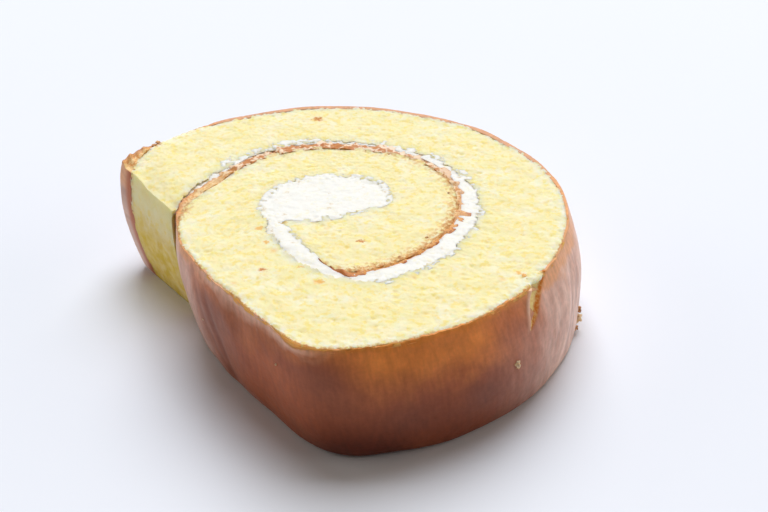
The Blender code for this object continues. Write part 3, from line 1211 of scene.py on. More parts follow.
def slab(along: Array, across: Array, levels: Numbers) -> bmesh.types.BMesh:
    """A closed box of quads, with its faces inside out because rolling up mirrors it.

    Args:
        along: Places along the sheet.
        across: Places across it.
        levels: Shares of the height.

    Returns:
        The box in a new bmesh.
    """
    mesh = bmesh.new()
    counts = len(along) - 1, len(across) - 1, len(levels) - 1
    corners: dict[tuple[int, ...], bmesh.types.BMVert] = {}

    def corner(place: tuple[int, ...]) -> bmesh.types.BMVert:
        """The vertex at a place of the lattice, made when it is first asked for."""
        if place not in corners:
            corners[place] = mesh.verts.new((along[place[0]], across[place[1]], levels[place[2]]))
        return corners[place]

    for axis, far in product(range(3), (0, 1)):
        first, second = (other for other in range(3) if other != axis)
        for i, j in product(range(counts[first]), range(counts[second])):
            loop = []
            for di, dj in ((0, 0), (1, 0), (1, 1), (0, 1)):
                place = [0, 0, 0]
                place[axis], place[first], place[second] = far * counts[axis], i + di, j + dj
                loop.append(corner(tuple(place)))
            mesh.faces.new(loop)
    bmesh.ops.recalc_face_normals(mesh, faces=mesh.faces)
    bmesh.ops.reverse_faces(mesh, faces=mesh.faces)
    return mesh


def as_data(mesh: bmesh.types.BMesh, name: str) -> bpy.types.Mesh:
    """Keeps a bmesh as an object's mesh, and frees it.

    Args:
        mesh: The bmesh.
        name: The new mesh's name.

    Returns:
        The new mesh.
    """
    data = bpy.data.meshes.new(name)
    mesh.to_mesh(data)
    mesh.free()
    return data


def faces_at(axis: int, value: float) -> FaceTest:
    """A test for faces of the flat box that lie wholly at one value of an axis."""
    return lambda face: all(abs(vertex.co[axis] - value) < FLAT_WITHIN for vertex in face.verts)


@dataclass
class WallMarks:
    """What the baking, rolling and handling left on the browned wall, and where its painted shade, painted
    sheen and partly painted amber glow lie.
    """

    plan: RollPlan
    swell: float = 0.5
    swell_grain: float = 12.0
    creases: Stations = (
        (228, 7, 2.4, 0.28), (221.5, 12, 2.0, 0.2), (240, 6, 5.0, -0.4), (330, -9, 1.2, 0.1),
        (334, -9, 1.0, 0.08), (338.5, -9, 1.3, -0.15), (342, -9, 1.0, 0.1), (346, -8, 1.2, 0.08),
    )
    crease_wander: float = 1.4
    below_rim: float = 0.3
    above_foot: float = 0.15
    patches: Stations = (
        (303.4, 0.39, 5.0, 0.5), (273.3, 0.62, 6.0, 0.25), (268.5, 0.80, 5.0, 0.3), (320.2, 0.88, 1.8, 0.5),
        (236.0, 0.5, 8.0, 0.3), (214.0, 0.3, 7.0, 0.3), (521.0, 0.6, 12.0, 0.2), (285.5, 0.38, 5.0, 0.3),
    )
    # warmth: how strong the amber under the rim, partly painted glow, is round the wall.
    warmth: Stations = (
        (185, 0.2), (250, 0.2), (268, 0.1), (280, 0.7), (288, 1.2), (298, 1.3), (310, 0.6), (320, 0.2),
        (522, 0.2),
    )
    # pale: how strong the painted sheen is round the wall.
    pale: Stations = (
        (185, 0.9), (208, 0.7), (218, 0.6), (227, 0.24), (236, 0.05), (262, 0), (300, 0), (308, 0.08),
        (320, 0.38), (328, 0.78), (338, 0.88), (365, 0.88), (420, 0.9), (490, 0.6), (515, 0.7), (522, 1),
    )
    # shade: how strong the painted shade towards the foot is, round the wall.
    shade: Stations = (
        (185, 0.5), (245, 0.3), (262, 0.6), (273, 1.2), (282, 1.1), (290, 0.6), (310, 0.6), (522, 0.8),
    )
    worn: Stations = (
        (240, 0), (248, 0.6), (254, 0), (259, 0.1), (265, 1), (271, 0.2), (280, 0), (318, 0),
        (322, 0.4), (324, 0), (493, 0), (499, 1), (505, 1), (508, 0),
    )
    far_rim: Stations = (
        (345, 0), (352, 0.05), (378, 0.45), (395, 0.48), (470, 0.48), (484, 0.4), (495, 0),
    )
    tear_at: float = 325.5
    tear_drift: float = -8.0
    tear_width: float = 6.4
    tear_depth: float = 2.0
    tear_length: float = 8.0
    tear_bottom: float = -0.6
    tear_taper: float = 0.8
    tear_tip: float = 1e-6
    tear_wander: float = 0.25
    yellow_side: Span = (0.55, 0.85)
    lip_height: float = 0.4
    lip_width: float = 0.4
    lip_off: float = 0.5

    def crease_depth(self, degrees: Array, share: Array) -> Array:
        """Depth of the creases.

        Args:
            degrees: Places round the wall.
            share: Their shares of the height.

        Returns:
            One depth for each place.
        """
        depth = np.zeros(len(degrees))
        for number, (at, drift, half_width, deep) in enumerate(self.creases):
            wander = self.crease_wander * np.sin(5 * share + 2.3 * number) * (1 - share)
            across = (degrees - at - drift * (1 - share) - wander) / half_width
            depth += deep * np.exp(-across * across)
        return depth * smooth_step(1 - share, 0, self.below_rim) * smooth_step(share, 0, self.above_foot)

    def swells(self, degrees: Array, share: Array) -> Array:
        """How far the wall swells out."""
        places = np.stack([degrees, share * self.plan.height, 0 * share], axis=-1)
        return self.swell * lumps(places, self.swell_grain)

    def tear(self, degrees: Array, share: Array) -> tuple[Array, Array, Array]:
        """The wedge where the skin and the crumb behind it are torn open at the rim.

        Args:
            degrees: Places round the wall.
            share: Their shares of the height.

        Returns:
            At each place the depth of the tear, how far its lip stands out, and how far it lies from the
            tear's left side, 0, to its right one, 1.
        """
        down = (1 - share) * self.plan.height / self.tear_length
        left = np.clip(1 - down, 0, 1)
        middle = self.tear_at + self.tear_drift * np.minimum(down, 1)
        off = np.radians(degrees - middle) * self.plan.skin_radius(self.tear_at)
        off = off + self.tear_wander * np.sin(0.9 * share * self.plan.height)
        half_width = self.tear_width / 2 * left**self.tear_taper + self.tear_tip
        off = off / half_width
        bottom = self.tear_bottom
        slope = np.where(off < bottom, (off + 1) / (bottom + 1), (1 - off) / (1 - bottom))
        depth = self.tear_depth * left * np.clip(slope, 0, 1)
        beside = (off * half_width + half_width + self.lip_off) / self.lip_width
        lip = self.lip_height * left * np.exp(-(beside**2))
        side = smooth_step(off + 1.3 * (1 - left), *self.yellow_side)
        return np.where(down < 1, depth, 0), np.where(down < 1, lip, 0), side

    def burnt(self, degrees: Array, share: Array) -> Array:
        """How dark the burnt patches are.

        Args:
            degrees: Places round the wall.
            share: Their shares of the height.

        Returns:
            0 for none to 1 for the darkest.
        """
        dark = np.zeros(len(degrees))
        for at, level, radius, strength in self.patches:
            off = np.radians(degrees - at) * self.plan.skin_radius(at)
            distance = np.hypot(off, (share - level) * self.plan.height) / radius
            dark += strength * np.exp(-(distance**2))
        return np.clip(dark, 0, 1)


@dataclass
class RolledPiece:
    """What the crumb and the skin share: a flat box that is shaped, marked and rolled up."""

    plan: RollPlan
    wall: WallMarks
    columns: int = 136
    levels: Numbers = (0.0, 1.0)
    cuts: int = 7
    end: float = 0.9999
    corner_rounding: float = 0.5
    corner_from: float = 0.990
    end_worn: float = 0.0008
    worn_from: float = 0.75
    worn_run: float = 0.975
    worn_across: Span = (0.5, 0.85)
    foot_share: float = 0.035
    end_roughness: float = 0.2
    end_lumps: float = 2.0
    fall_run: float = 0.976
    least_fall: float = 0.1
    fall_across: Span = (0.55, 0.95)
    steepness: float = 2.5
    line_inward: Stations = (
        (122, 0), (128, 0.1), (150, 1.3), (165, 2), (176, 1.3), (187, 0.1), (190, 0),
    )

    def flat_box(self, name: str, across: Array, shown: FaceTest) -> bpy.types.Mesh:
        """The flat sheet as a closed box, fine where it shows.

        Args:
            name: The mesh's name.
            across: Places across the sheet.
            shown: The faces that get a fine mesh.

        Returns:
            The mesh.
        """
        mesh = slab(self.plan.even_places(self.columns + 1), across, self.levels)
        edges = {edge for face in mesh.faces if shown(face) for edge in face.edges}
        bmesh.ops.subdivide_edges(mesh, edges=list(edges), cuts=self.cuts, use_grid_fill=True)
        return as_data(mesh, name)

    def bare(self, along: Array) -> Array:
        """1 where the browned face is bare, and 0 where a turn lies over it."""
        return smooth_step(self.plan.turn(along), *self.plan.bare)

    def marks(self, points: Array) -> dict[str, Array]:
        """What both finishes read.

        Args:
            points: Places along, across and up the flat sheet.

        Returns:
            Each point's run, depth and height on the flat sheet, and whether its skin is bare.
        """
        along, across, share = points.T
        depth = (1 - across) * self.plan.width(along)
        place = np.stack([self.plan.run(along), depth, share * self.plan.height], axis=-1)
        return {"sheet_place": place, "bare": self.bare(along)}

    def shaped(self, points: Array, skin_shift: Array) -> Array:
        """The flat points with the wall's relief, the flap's worn corner and the foot's rounding.

        Args:
            points: Places along, across and up the flat sheet.
            skin_shift: How far the browned side moves outwards at each point.

        Returns:
            The moved points.
        """
        along, across, share = points.T.copy()
        width = self.plan.width(along)
        corner = self.corner_rounding * smooth_step(along, self.corner_from, 1.0) ** 2
        across = across * (1 + (self.bare(along) * skin_shift - corner) / width)
        worn = np.clip((share - self.worn_from) / (1 - self.worn_from), 0, 1) ** self.steepness
        worn *= smooth_step(along, self.worn_run, 1.0)
        along -= self.end_worn * worn * (1 - smooth_step(across, *self.worn_across))
        tuck = self.plan.foot_rounding * np.clip(1 - share / self.foot_share, 0, 1) ** 2 / width
        across = tuck + across * (1 - 2 * tuck)
        return np.stack([along, across, share], axis=-1)

    def unrolled(self, along: Array, across: Array | float = 0.0) -> Array:
        """Points of the flat sheet laid out in millimetres, at some places along it."""
        return np.stack([self.plan.run(along), across + 0 * along, 0 * along], axis=-1)

    def end_fall(self, along: Array, across: Array, share: Array) -> Array:
        """How far the upper edge of the flap's end drops.

        Args:
            along: Places along the flat sheet.
            across: Places across it.
            share: Shares of the height.

        Returns:
            One drop for each point, in millimetres.
        """
        flat = self.unrolled(along, across * self.plan.width(along))
        rough = 1 + self.end_roughness * lumps(flat, self.end_lumps)
        far_in = self.least_fall + (1 - self.least_fall) * (1 - smooth_step(across, *self.fall_across))
        fall = self.plan.flap_rounding * far_in * rough
        fall *= smooth_step(along, self.fall_run, 1.0) ** self.steepness
        return fall * smooth_step(share, self.worn_from, 1.0)


@dataclass
class SpongeCrumb(RolledPiece):
    """The crumb of the rolled sheet: its cut face, the end of its flap and the notch behind the tear."""

    rows: int = 8
    levels: Numbers = (0.0, 0.012, 0.035, 0.15, 0.35, 0.55, 0.70, 0.82, 0.92, 1.0)
    torn_span: Span = (-14.0, 5.0)
    torn_from: float = 0.6
    under_skin: float = 0.65
    under_corner: float = 0.9
    rim_ends: Span = (496, 508)
    inward_share: float = 0.85
    nibbled_from: Span = (0.97, 0.99)
    bared: float = 0.5
    bared_by: Span = (0.1, 0.5)
    closed: float = 0.6
    closed_above: Span = (0.955, 0.99)
    sunk_side: float = 0.6
    sunk_below: Span = (0.945, 0.972)
    edge_fall: float = 0.08
    edge_fall_width: float = 1.2
    rim_fall: float = 0.2
    rim_fall_width: float = 0.7
    rim_fluff: float = 0.8
    rim_fluff_width: float = 1.7
    side_relief: float = 0.4
    end_relief: float = 0.8
    # Where the painted shade and the painted light lie on the flap's end, as shares of the height.
    painted_shade_low_on_end: Span = (0.12, 0.62)
    painted_light_high_on_end: Span = (0.66, 0.95)
    strip_depth: Span = (4.4, 6.2)
    strip_height: Span = (0.3, 0.7)
    teeth: Stations = ((0.7, 2.4, 2.4), (0.6, 1.0, 1.0), (0.35, 0.5, 0.5))
    teeth_width: float = 1.6
    rim_teeth: Stations = ((0.3, 2.2, 2.2), (0.35, 0.8, 0.8))
    least_nibbled: float = 0.12
    most_nibbled: float = 1.1
    overhang: Stations = (
        (-91, 0.1), (205, 0.1), (218, 1.6), (227, 0.4), (236, 2.4), (262, 1.8), (285, 1), (300, 0.2),
        (360, 0.2), (390, 0.7), (425, 1), (465, 1.1), (485, 1.8), (500, 2.1), (514, 1.9), (522, 0.9),
    )

    def edge_shift(self, along: Array, across: Array) -> Array:
        """How far the cut face reaches over the cream at its ragged edge.

        Args:
            along: Places along the flat sheet.
            across: Places across it.

        Returns:
            One shift for each point, in millimetres.
        """
        from_cream = across * self.plan.width(along)
        reach = smooth_line(self.overhang, self.plan.turn(along))
        reach += layered(self.unrolled(along, from_cream), self.teeth)
        return reach * np.exp(-((from_cream / self.teeth_width) ** 2))

    def nibbled(self, along: Array) -> Array:
        """How far the crumb's edge at the bare rim is crumbled away."""
        gone = self.least_nibbled + layered(self.unrolled(along), self.rim_teeth)
        return np.clip(gone + smooth_line(self.wall.far_rim, self.plan.turn(along)), 0, self.most_nibbled)

    def inset(self, along: Array, share: Array, torn: Array, side: Array) -> Array:
        """How far the crumb's browned side lies inside the sheet's.

        Args:
            along: Places along the flat sheet.
            share: Shares of the height.
            torn: Depth of the tear.
            side: 0 on the tear's left side and 1 on its right.

        Returns:
            One depth for each point, in millimetres.
        """
        degrees = self.plan.turn(along)
        open_rim = self.bare(along) * (1 - smooth_step(degrees, *self.rim_ends))
        under = np.where(degrees > self.rim_ends[0], self.under_corner, self.under_skin)
        inset = under * smooth_line(self.plan.skin_depth, degrees) * (1 - open_rim)
        inward = self.inward_share * smooth_line(self.line_inward, degrees)
        inset += inward * smooth_step(share, 0.9, 1.0)
        inset += open_rim * self.nibbled(along) * smooth_step(share, *self.nibbled_from)
        worn = smooth_line(self.wall.worn, degrees) / self.plan.height
        low, high = (level - worn for level in self.sunk_below)
        inset += self.sunk_side * (1 - smooth_step(share, low, high)) * (along < self.end)
        opened = smooth_step(torn, *self.bared_by) * (1 - smooth_step(share, self.closed_above[-1], 1.0))
        return inset - self.bared * (1 - side) * opened

    def fall(self, along: Array, across: Array, share: Array, marks: dict[str, Array]) -> Array:
        """How far the points lie under the level cut face.

        Args:
            along: Places along the flat sheet.
            across: Places across it.
            share: Shares of the height.
            marks: What the points carry.

        Returns:
            One drop for each point, in millimetres.
        """
        run, depth, _ = marks["sheet_place"].T
        from_edge = np.minimum(across * self.plan.width(along), run)
        fall = self.edge_fall * np.exp(-from_edge / self.edge_fall_width)
        fall += self.rim_fall * marks["bare"] * np.exp(-((depth / self.rim_fall_width) ** 2))
        return np.where(share > self.end, fall, 0) + self.end_fall(along, across, share)

    def looks(self, points: Array, depth: Array, bare: Array, torn: Array) -> dict[str, Array]:
        """What the crumb's own finish and relief read.

        Args:
            points: Places along, across and up the flat sheet.
            depth: How far they lie under the browned face.
            bare: Whether the skin is bare there.
            torn: Depth of the tear.

        Returns:
            One number for each point, by name.
        """
        along, across, share = points.T
        top, end = share > self.end, along > self.end
        fluff = 1 + self.rim_fluff * bare * np.exp(-((depth / self.rim_fluff_width) ** 2))
        side = self.side_relief * bare * smooth_step(share, 0.96, 1.0) * (across > self.end)
        on_end = self.end_relief * smooth_step(share, 0.02, 0.1)
        by_strip = (1 - smooth_step(depth, *self.strip_depth)) * smooth_step(share, *self.strip_height)
        return {
            "open": np.where(top, fluff, np.where(end, on_end, side)),
            "painted_shade_low_on_end": end * smooth_step(1 - share, *self.painted_shade_low_on_end),
            "painted_light_high_on_end": end * smooth_step(share, *self.painted_light_high_on_end),
            "by_strip": end * by_strip,
            "torn": smooth_step(torn, 0.05, 0.4),
            "below_rim": np.where(top, 0.0, bare),
        }

    def build(self, guides: Guides, finish: Finish) -> Thing:
        """Makes the crumb.

        Args:
            guides: The plan's lines.
            finish: What it is dressed in.

        Returns:
            The crumb, rolled up.
        """
        plan = self.plan
        first, last = (plan.along(self.wall.tear_at + off) for off in self.torn_span)
        behind, at_top, at_end = faces_at(1, 1), faces_at(2, 1), faces_at(0, 1)

        def shown(face: bmesh.types.BMFace) -> bool:
            """Whether a face is on the cut face, the flap's end, the rim or the torn place."""
            middle = face.calc_center_median()
            torn = first < middle.x < last and middle.z > self.torn_from
            at_rim = middle.z > self.levels[-2] and middle.x > plan.along(plan.bare[0])
            return at_top(face) or at_end(face) or (behind(face) and (torn or at_rim))

        data = self.flat_box("crumb", np.linspace(0, 1, self.rows + 1), shown)
        points = points_of(data)
        along, across, share = flat = points.T.copy()
        degrees, width = plan.turn(along), plan.width(along)
        torn, _, side = self.wall.tear(degrees, share)
        inset = self.inset(along, share, torn, side)
        torn *= 1 - self.closed * smooth_step(share, *self.closed_above)
        points[:, 1] = across * (1 - inset / width)
        points[:, 1] -= np.where(share > self.end, self.edge_shift(along, across) / width, 0)
        shift = self.wall.swells(degrees, share) - self.wall.crease_depth(degrees, share) - torn
        marks = self.marks(points)
        points = self.shaped(points, shift)
        points[:, 2] = share - self.fall(along, across, share, marks) / plan.height
        marks |= self.looks(flat.T, marks["sheet_place"][:, 1], marks["bare"], torn)
        write_marks(data, **marks)
        place_points(data, points)
        crumb = add_object("crumb", data)
        RollCrumb("roll up the crumb", plan, guides, finish.material(), seed=3).run(crumb)
        return crumb


@dataclass
class BrownedSkin(RolledPiece):
    """The browned skin round the sheet, and the brown line that it draws between the turns."""

    levels: Numbers = (0.0, 0.035, 0.14, 0.25, 0.36, 0.47, 0.58, 0.69, 0.80, 0.90, 1.0)
    fine_before_bare: float = 10.0
    line_fall: float = 0.3
    line_lumps: Stations = ((0.35, 0.6, 0.6), (0.6, 1.4, 1.4))
    wander_lumps: Stations = ((1.0, 1.2, 0.0), (1.0, 0.6, 0.0))
    least_wander: float = 0.2
    line_wander: Stations = ((-91, 0.2), (-40, 0.2), (0, 0.4), (150, 0.5))
    line_swell: Stations = (
        (-91, 0.5), (-65, 0.4), (-45, 0.1), (-30, 0.3), (-18, 1), (-10, 2), (-7, 0.8), (0, 0.3),
        (70, 1.1), (125, 0.9), (150, 0.5), (190, 0),
    )
    least_rim_fall: float = 0.2
    rim_lumps: Stations = ((0.25, 2.6, 0.0), (0.25, 0.9, 5.0))
    far_rim_rise: float = 0.6
    most_rim_fall: float = 0.9
    corner_crust: float = 0.9
    crust_from: Span = (510, 515)
    crust_above: float = 0.88
    crust_lumps: float = 1.5
    no_rim_from: Span = (505, 512)
    strip_edge: Span = (0.25, 0.7)
    broken: Stations = ((-91, 0), (-25, 0), (15, 0.6), (60, 1), (140, 1), (165, 0.3), (190, 0.1))
    start_ends: Span = (-86, -68)
    start_strength: float = 0.9
    fringe: Numbers = (215, 232, 262, 278)
    far: Numbers = (366, 384, 484, 495)

    def rim_drop(self, along: Array) -> Array:
        """How far the ragged upper edge of the bare wall lies under the cut face.

        Args:
            along: Places along the flat sheet.

        Returns:
            One drop for each place, in millimetres.
        """
        degrees = self.plan.turn(along)
        drop = self.least_rim_fall + layered(self.unrolled(along), self.rim_lumps)
        drop -= self.far_rim_rise * smooth_line(self.wall.far_rim, degrees)
        return np.clip(drop, 0, self.most_rim_fall) + smooth_line(self.wall.worn, degrees)

    def line_drop(self, along: Array, across: Array) -> Array:
        """How far the brown line lies under the cut face, from its crumbs and its worn edge."""
        return self.line_fall * across**2 - layered(self.unrolled(along, across), self.line_lumps)

    def line_shift(self, degrees: Array, run: Array) -> Array:
        """How far the brown line swells into the cream.

        Args:
            degrees: Places round the roll.
            run: Their places along the sheet, as points.

        Returns:
            One shift for each point, in millimetres.
        """
        wander = np.clip(layered(run, self.wander_lumps) + self.least_wander, 0, None)
        swell = smooth_line(self.line_swell, degrees) - smooth_line(self.line_inward, degrees)
        return swell + smooth_line(self.line_wander, degrees) * wander

    def looks(self, points: Array, torn: Array, lip: Array, crease: Array) -> dict[str, Array]:
        """What the skin's own finish and relief read.

        Args:
            points: Places along, across and up the flat sheet.
            torn: Depth of the tear.
            lip: How far the tear's lip stands out.
            crease: Depth of the creases.

        Returns:
            One number for each point, by name.
        """
        along, across, share = points.T
        degrees, wall = self.plan.turn(along), self.wall
        strip_edge = (along > self.end) * (1 - smooth_step(across, *self.strip_edge))
        start = self.start_strength * (1 - smooth_step(degrees, *self.start_ends))
        marks = {
            "open": (across > self.end) * smooth_step(share, 0.0, 0.06),
            "burnt": wall.burnt(degrees, share),
            # Painted shade: the depth of a crease darkens the wall there towards red.
            "crease": np.clip(1.5 * crease, 0, 0.6),
            "torn": smooth_step(torn, 0.02, 0.2),
            "lip": np.clip(1.8 * lip / wall.lip_height, 0, 0.9),
            "start": start + strip_edge,
            "fringe": smooth_band(degrees, self.fringe),
            "far": smooth_band(degrees, self.far),
        }
        # shade is painted shade towards the foot, pale is painted sheen, and warm is the amber, which is
        # partly painted glow.
        lines = {"warm": wall.warmth, "shade": wall.shade, "pale": wall.pale, "broken": self.broken}
        return marks | {name: smooth_line(line, degrees) for name, line in lines.items()}

    def build(self, guides: Guides, finish: Finish) -> Thing:
        """Makes the skin.

        Args:
            guides: The plan's lines.
            finish: What it is dressed in.

        Returns:
            The skin, rolled up.
        """
        plan = self.plan
        bare_from = plan.along(plan.bare[0] - self.fine_before_bare)
        outside, at_top, at_end = faces_at(1, 1), faces_at(2, 1), faces_at(0, 1)

        def shown(face: bmesh.types.BMFace) -> bool:
            """Whether a face is on the bare wall, the brown line or the flap's end."""
            wall = outside(face) and face.calc_center_median().x > bare_from
            return wall or at_top(face) or at_end(face)

        data = self.flat_box("browned_skin", np.array([0.0, 1.0]), shown)
        points = points_of(data)
        along, across, share = flat = points.T.copy()
        degrees, width = plan.turn(along), plan.width(along)
        points[:, 1] = 1 - smooth_line(plan.skin_depth, degrees) / width * (1 - across)
        torn, lip, side = self.wall.tear(degrees, share)
        crease = self.wall.crease_depth(degrees, share)
        marks = self.marks(points)
        bare = marks["bare"]
        run = marks["sheet_place"][:, :1] * (1, 0, 0)
        swell = self.line_shift(degrees, run) * (1 - bare) * smooth_step(share, 0.9, 1.0)
        points[:, 1] += across * swell / width
        points = self.shaped(points, self.wall.swells(degrees, share) - crease - torn + lip)
        drop = np.where(share > self.end, (1 - bare) * self.line_drop(along, across), 0)
        drop += bare * self.rim_drop(along) * smooth_step(share, self.levels[-2], 1.0)
        drop += self.end_fall(along, across, share)
        crust = smooth_step(degrees, *self.crust_from) * smooth_step(share, self.crust_above, 1.0)
        drop -= self.corner_crust * crust * (1 + lumps(run, self.crust_lumps))
        points[:, 2] = share - drop / plan.height
        no_rim = smooth_step(degrees, *self.no_rim_from) * (share > self.end)
        marks |= {"bare": bare * (1 - no_rim), "torn_side": side, **self.looks(flat.T, torn, lip, crease)}
        write_marks(data, **marks)
        place_points(data, points)
        skin = add_object("browned_skin", data)
        RollSkin("roll up the skin", plan, guides, finish.material(), seed=5).run(skin)
        return skin


@dataclass
class CreamFilling:
    """The cream from the pocket out between the turns, a little sunk and smeared over its edges."""

    plan: RollPlan
    samples: int = 4000
    step: float = 0.4
    grain: float = 0.27
    scatter: float = 0.15
    seed: int = 11
    clear_of_edge: float = 0.6
    levels: Numbers = (0.3, 0.7, 0.97)
    reach: Stations = ((-136, 1.4), (150, 1.4), (260, 1.6), (300, 1.2), (500, 1.2), (522, 0.3), (546, 0.2))
    skin_reach: Stations = (
        (-91, 0.3), (115, 0.3), (125, 0.3), (150, 1.4), (165, 2.1), (176, 1.4), (188, 0.3), (546, 0.3),
    )
    sunk: Stations = (
        (-136, 0.02), (150, 0.03), (270, 0.03), (290, 0.05), (310, 0.08), (400, 0.08), (425, 0.12),
        (445, 0.18), (515, 0.2), (530, 0.6), (546, 0.8),
    )
    covered: Stations = ((-136, 0), (195, 0), (225, 0.4), (285, 0.3), (300, 0), (546, 0))
    covered_width: float = 2.2
    ragged: Stations = ((0.2, 1.8, 1.8), (0.2, 0.8, 0.8))
    ragged_width: float = 1.8
    end_slant: float = 9.0
    short_of_flap: float = 7.0
    edge_width: float = 2.0
    edge_fall: float = 0.05

    def outline(self) -> Array:
        """The cream's outline in plan, reaching a little into the crumb and the skin round it.

        Returns:
            One row for each point, once round.
        """
        plan, end = self.plan, self.plan.flap_end - self.short_of_flap
        outward = np.linspace(plan.pocket[0][0] + self.end_slant, end, self.samples)
        outward = self.evened(outward, plan.crumb_radius, smooth_line(self.reach, outward))
        start = plan.skin_stations[0][0] + self.end_slant / 2
        inward = np.linspace(end - 360, start, self.samples // 2)
        back = self.evened(inward, plan.skin_radius, -smooth_line(self.skin_reach, inward))
        return np.concatenate([outward, back])

    def evened(self, degrees: Array, radius: Callable[[Array], Array], shift: Array) -> Array:
        """Points at equal steps along a line of the plan that is moved in or out.

        Args:
            degrees: Where the line is read.
            radius: Gives the line's radius there.
            shift: How far it moves out.

        Returns:
            One row for each point.
        """
        line = self.plan.in_plan(degrees, radius(degrees) + shift)
        run = lengths(line)
        at = np.linspace(0, run[-1], int(run[-1] / self.step) + 1)
        return np.stack([np.interp(at, run, line[:, axis]) for axis in (0, 1)], axis=-1)

    def inside(self, outline: Array) -> Array:
        """Points of an uneven lattice that lie inside the outline, clear of its edge.

        Args:
            outline: The outline's points.

        Returns:
            One row for each point.
        """
        low, high = outline.min(0), outline.max(0)
        rows = np.arange(low[1], high[1], self.grain * math.sqrt(3) / 2)
        columns = np.arange(low[0], high[0], self.grain)
        x, y = np.meshgrid(columns, rows)
        x = x + self.grain / 2 * (np.arange(len(rows)) % 2)[:, None]
        spots = np.stack([x.ravel(), y.ravel()], axis=-1)
        drawn = np.random.default_rng(self.seed).uniform(-self.scatter, self.scatter, spots.shape)
        spots += drawn * self.grain
        crossings = np.zeros(len(spots), int)
        for (ax, ay), (bx, by) in zip(outline, np.roll(outline, -1, axis=0)):
            between = (spots[:, 1] < ay) != (spots[:, 1] < by)
            at = ax + (spots[:, 1] - ay) * (bx - ax) / (by - ay if by != ay else 1.0)
            crossings += between & (spots[:, 0] < at)
        spots = spots[crossings % 2 == 1]
        return spots[self.edge_distance(spots, outline) > self.grain * self.clear_of_edge]

    def edge_distance(self, spots: Array, outline: Array) -> Array:
        """Distance from each spot to the nearest point of the outline.

        Args:
            spots: The spots.
            outline: The outline's points.

        Returns:
            One distance for each spot.
        """
        tree = kdtree.KDTree(len(outline))
        for number, point in enumerate(outline):
            tree.insert((*point, 0.0), number)
        tree.balance()
        return np.array([tree.find((*spot, 0.0))[2] for spot in spots])

    def sunk_by(self, spots: Array, outline: Array) -> Array:
        """How far the cream's top lies under the cut face.

        Args:
            spots: Points in plan.
            outline: The outline's points.

        Returns:
            One depth for each spot, in millimetres.
        """
        degrees = np.degrees(np.arctan2(spots[:, 1], spots[:, 0]))
        radius = np.linalg.norm(spots, axis=1)
        turns = np.stack([degrees + 360 * turn for turn in (0, 1)])
        off = np.abs(self.plan.crumb_radius(turns) - radius)
        turn = np.where(off[0] <= off[1], turns[0], turns[1])
        off = off.min(0)
        edge = np.clip(1 - self.edge_distance(spots, outline) / self.edge_width, 0, 1)
        sunk = smooth_line(self.sunk, turn)
        sunk += self.edge_fall * edge**2 * np.exp(-((off / self.edge_width) ** 2))
        sunk += smooth_line(self.covered, turn) * np.exp(-((off / self.covered_width) ** 2))
        ragged = layered(np.pad(spots, ((0, 0), (0, 1))), self.ragged)
        return sunk + ragged * np.exp(-((off / self.ragged_width) ** 2))

    def build(self, finish: Finish) -> Thing:
        """Makes the cream.

        Args:
            finish: What it is dressed in.

        Returns:
            The cream.
        """
        outline = self.outline()
        spots = np.concatenate([outline, self.inside(outline)])
        count = len(outline)
        loop = [(i, (i + 1) % count) for i in range(count)]
        flat = [Vector(spot) for spot in spots]
        made = geometry.delaunay_2d_cdt(flat, loop, [], 1, FLAT_WITHIN)
        spots, faces, kept = np.array(made[0]), made[2], made[3]
        on_loop = {old: new for new, olds in enumerate(kept) for old in olds}
        loop = [on_loop[i] for i in range(count)]
        sunk = self.sunk_by(spots, outline)
        top = self.plan.stand(spots, 1 - sunk / self.plan.height)
        bottom = self.plan.stand(spots, np.zeros(len(spots)))
        rings = [self.plan.stand(spots[loop], np.full(count, level)) for level in self.levels]
        total = len(spots)
        points = np.concatenate([top, bottom, *rings])
        starts = [2 * total + count * number for number in range(len(rings))]
        sides = [[total + i for i in loop], *(range(start, start + count) for start in starts), loop]
        quads = [
            (low[i], low[(i + 1) % count], high[(i + 1) % count], high[i])
            for low, high in zip(sides, sides[1:]) for i in range(count)
        ]
        data = bpy.data.meshes.new("cream")
        under = [[total + i for i in reversed(face)] for face in faces]
        data.from_pydata((points * METRES).tolist(), [], [*faces, *under, *quads])
        mesh = bmesh.new()
        mesh.from_mesh(data)
        bmesh.ops.recalc_face_normals(mesh, faces=mesh.faces)
        mesh.to_mesh(data)
        mesh.free()
        write_marks(data, open=np.where(np.arange(len(points)) < total, 1.0, 0.0))
        cream = add_object("cream_filling", data)
        Whip(finish.material(), seed=2).run(cream)
        return cream


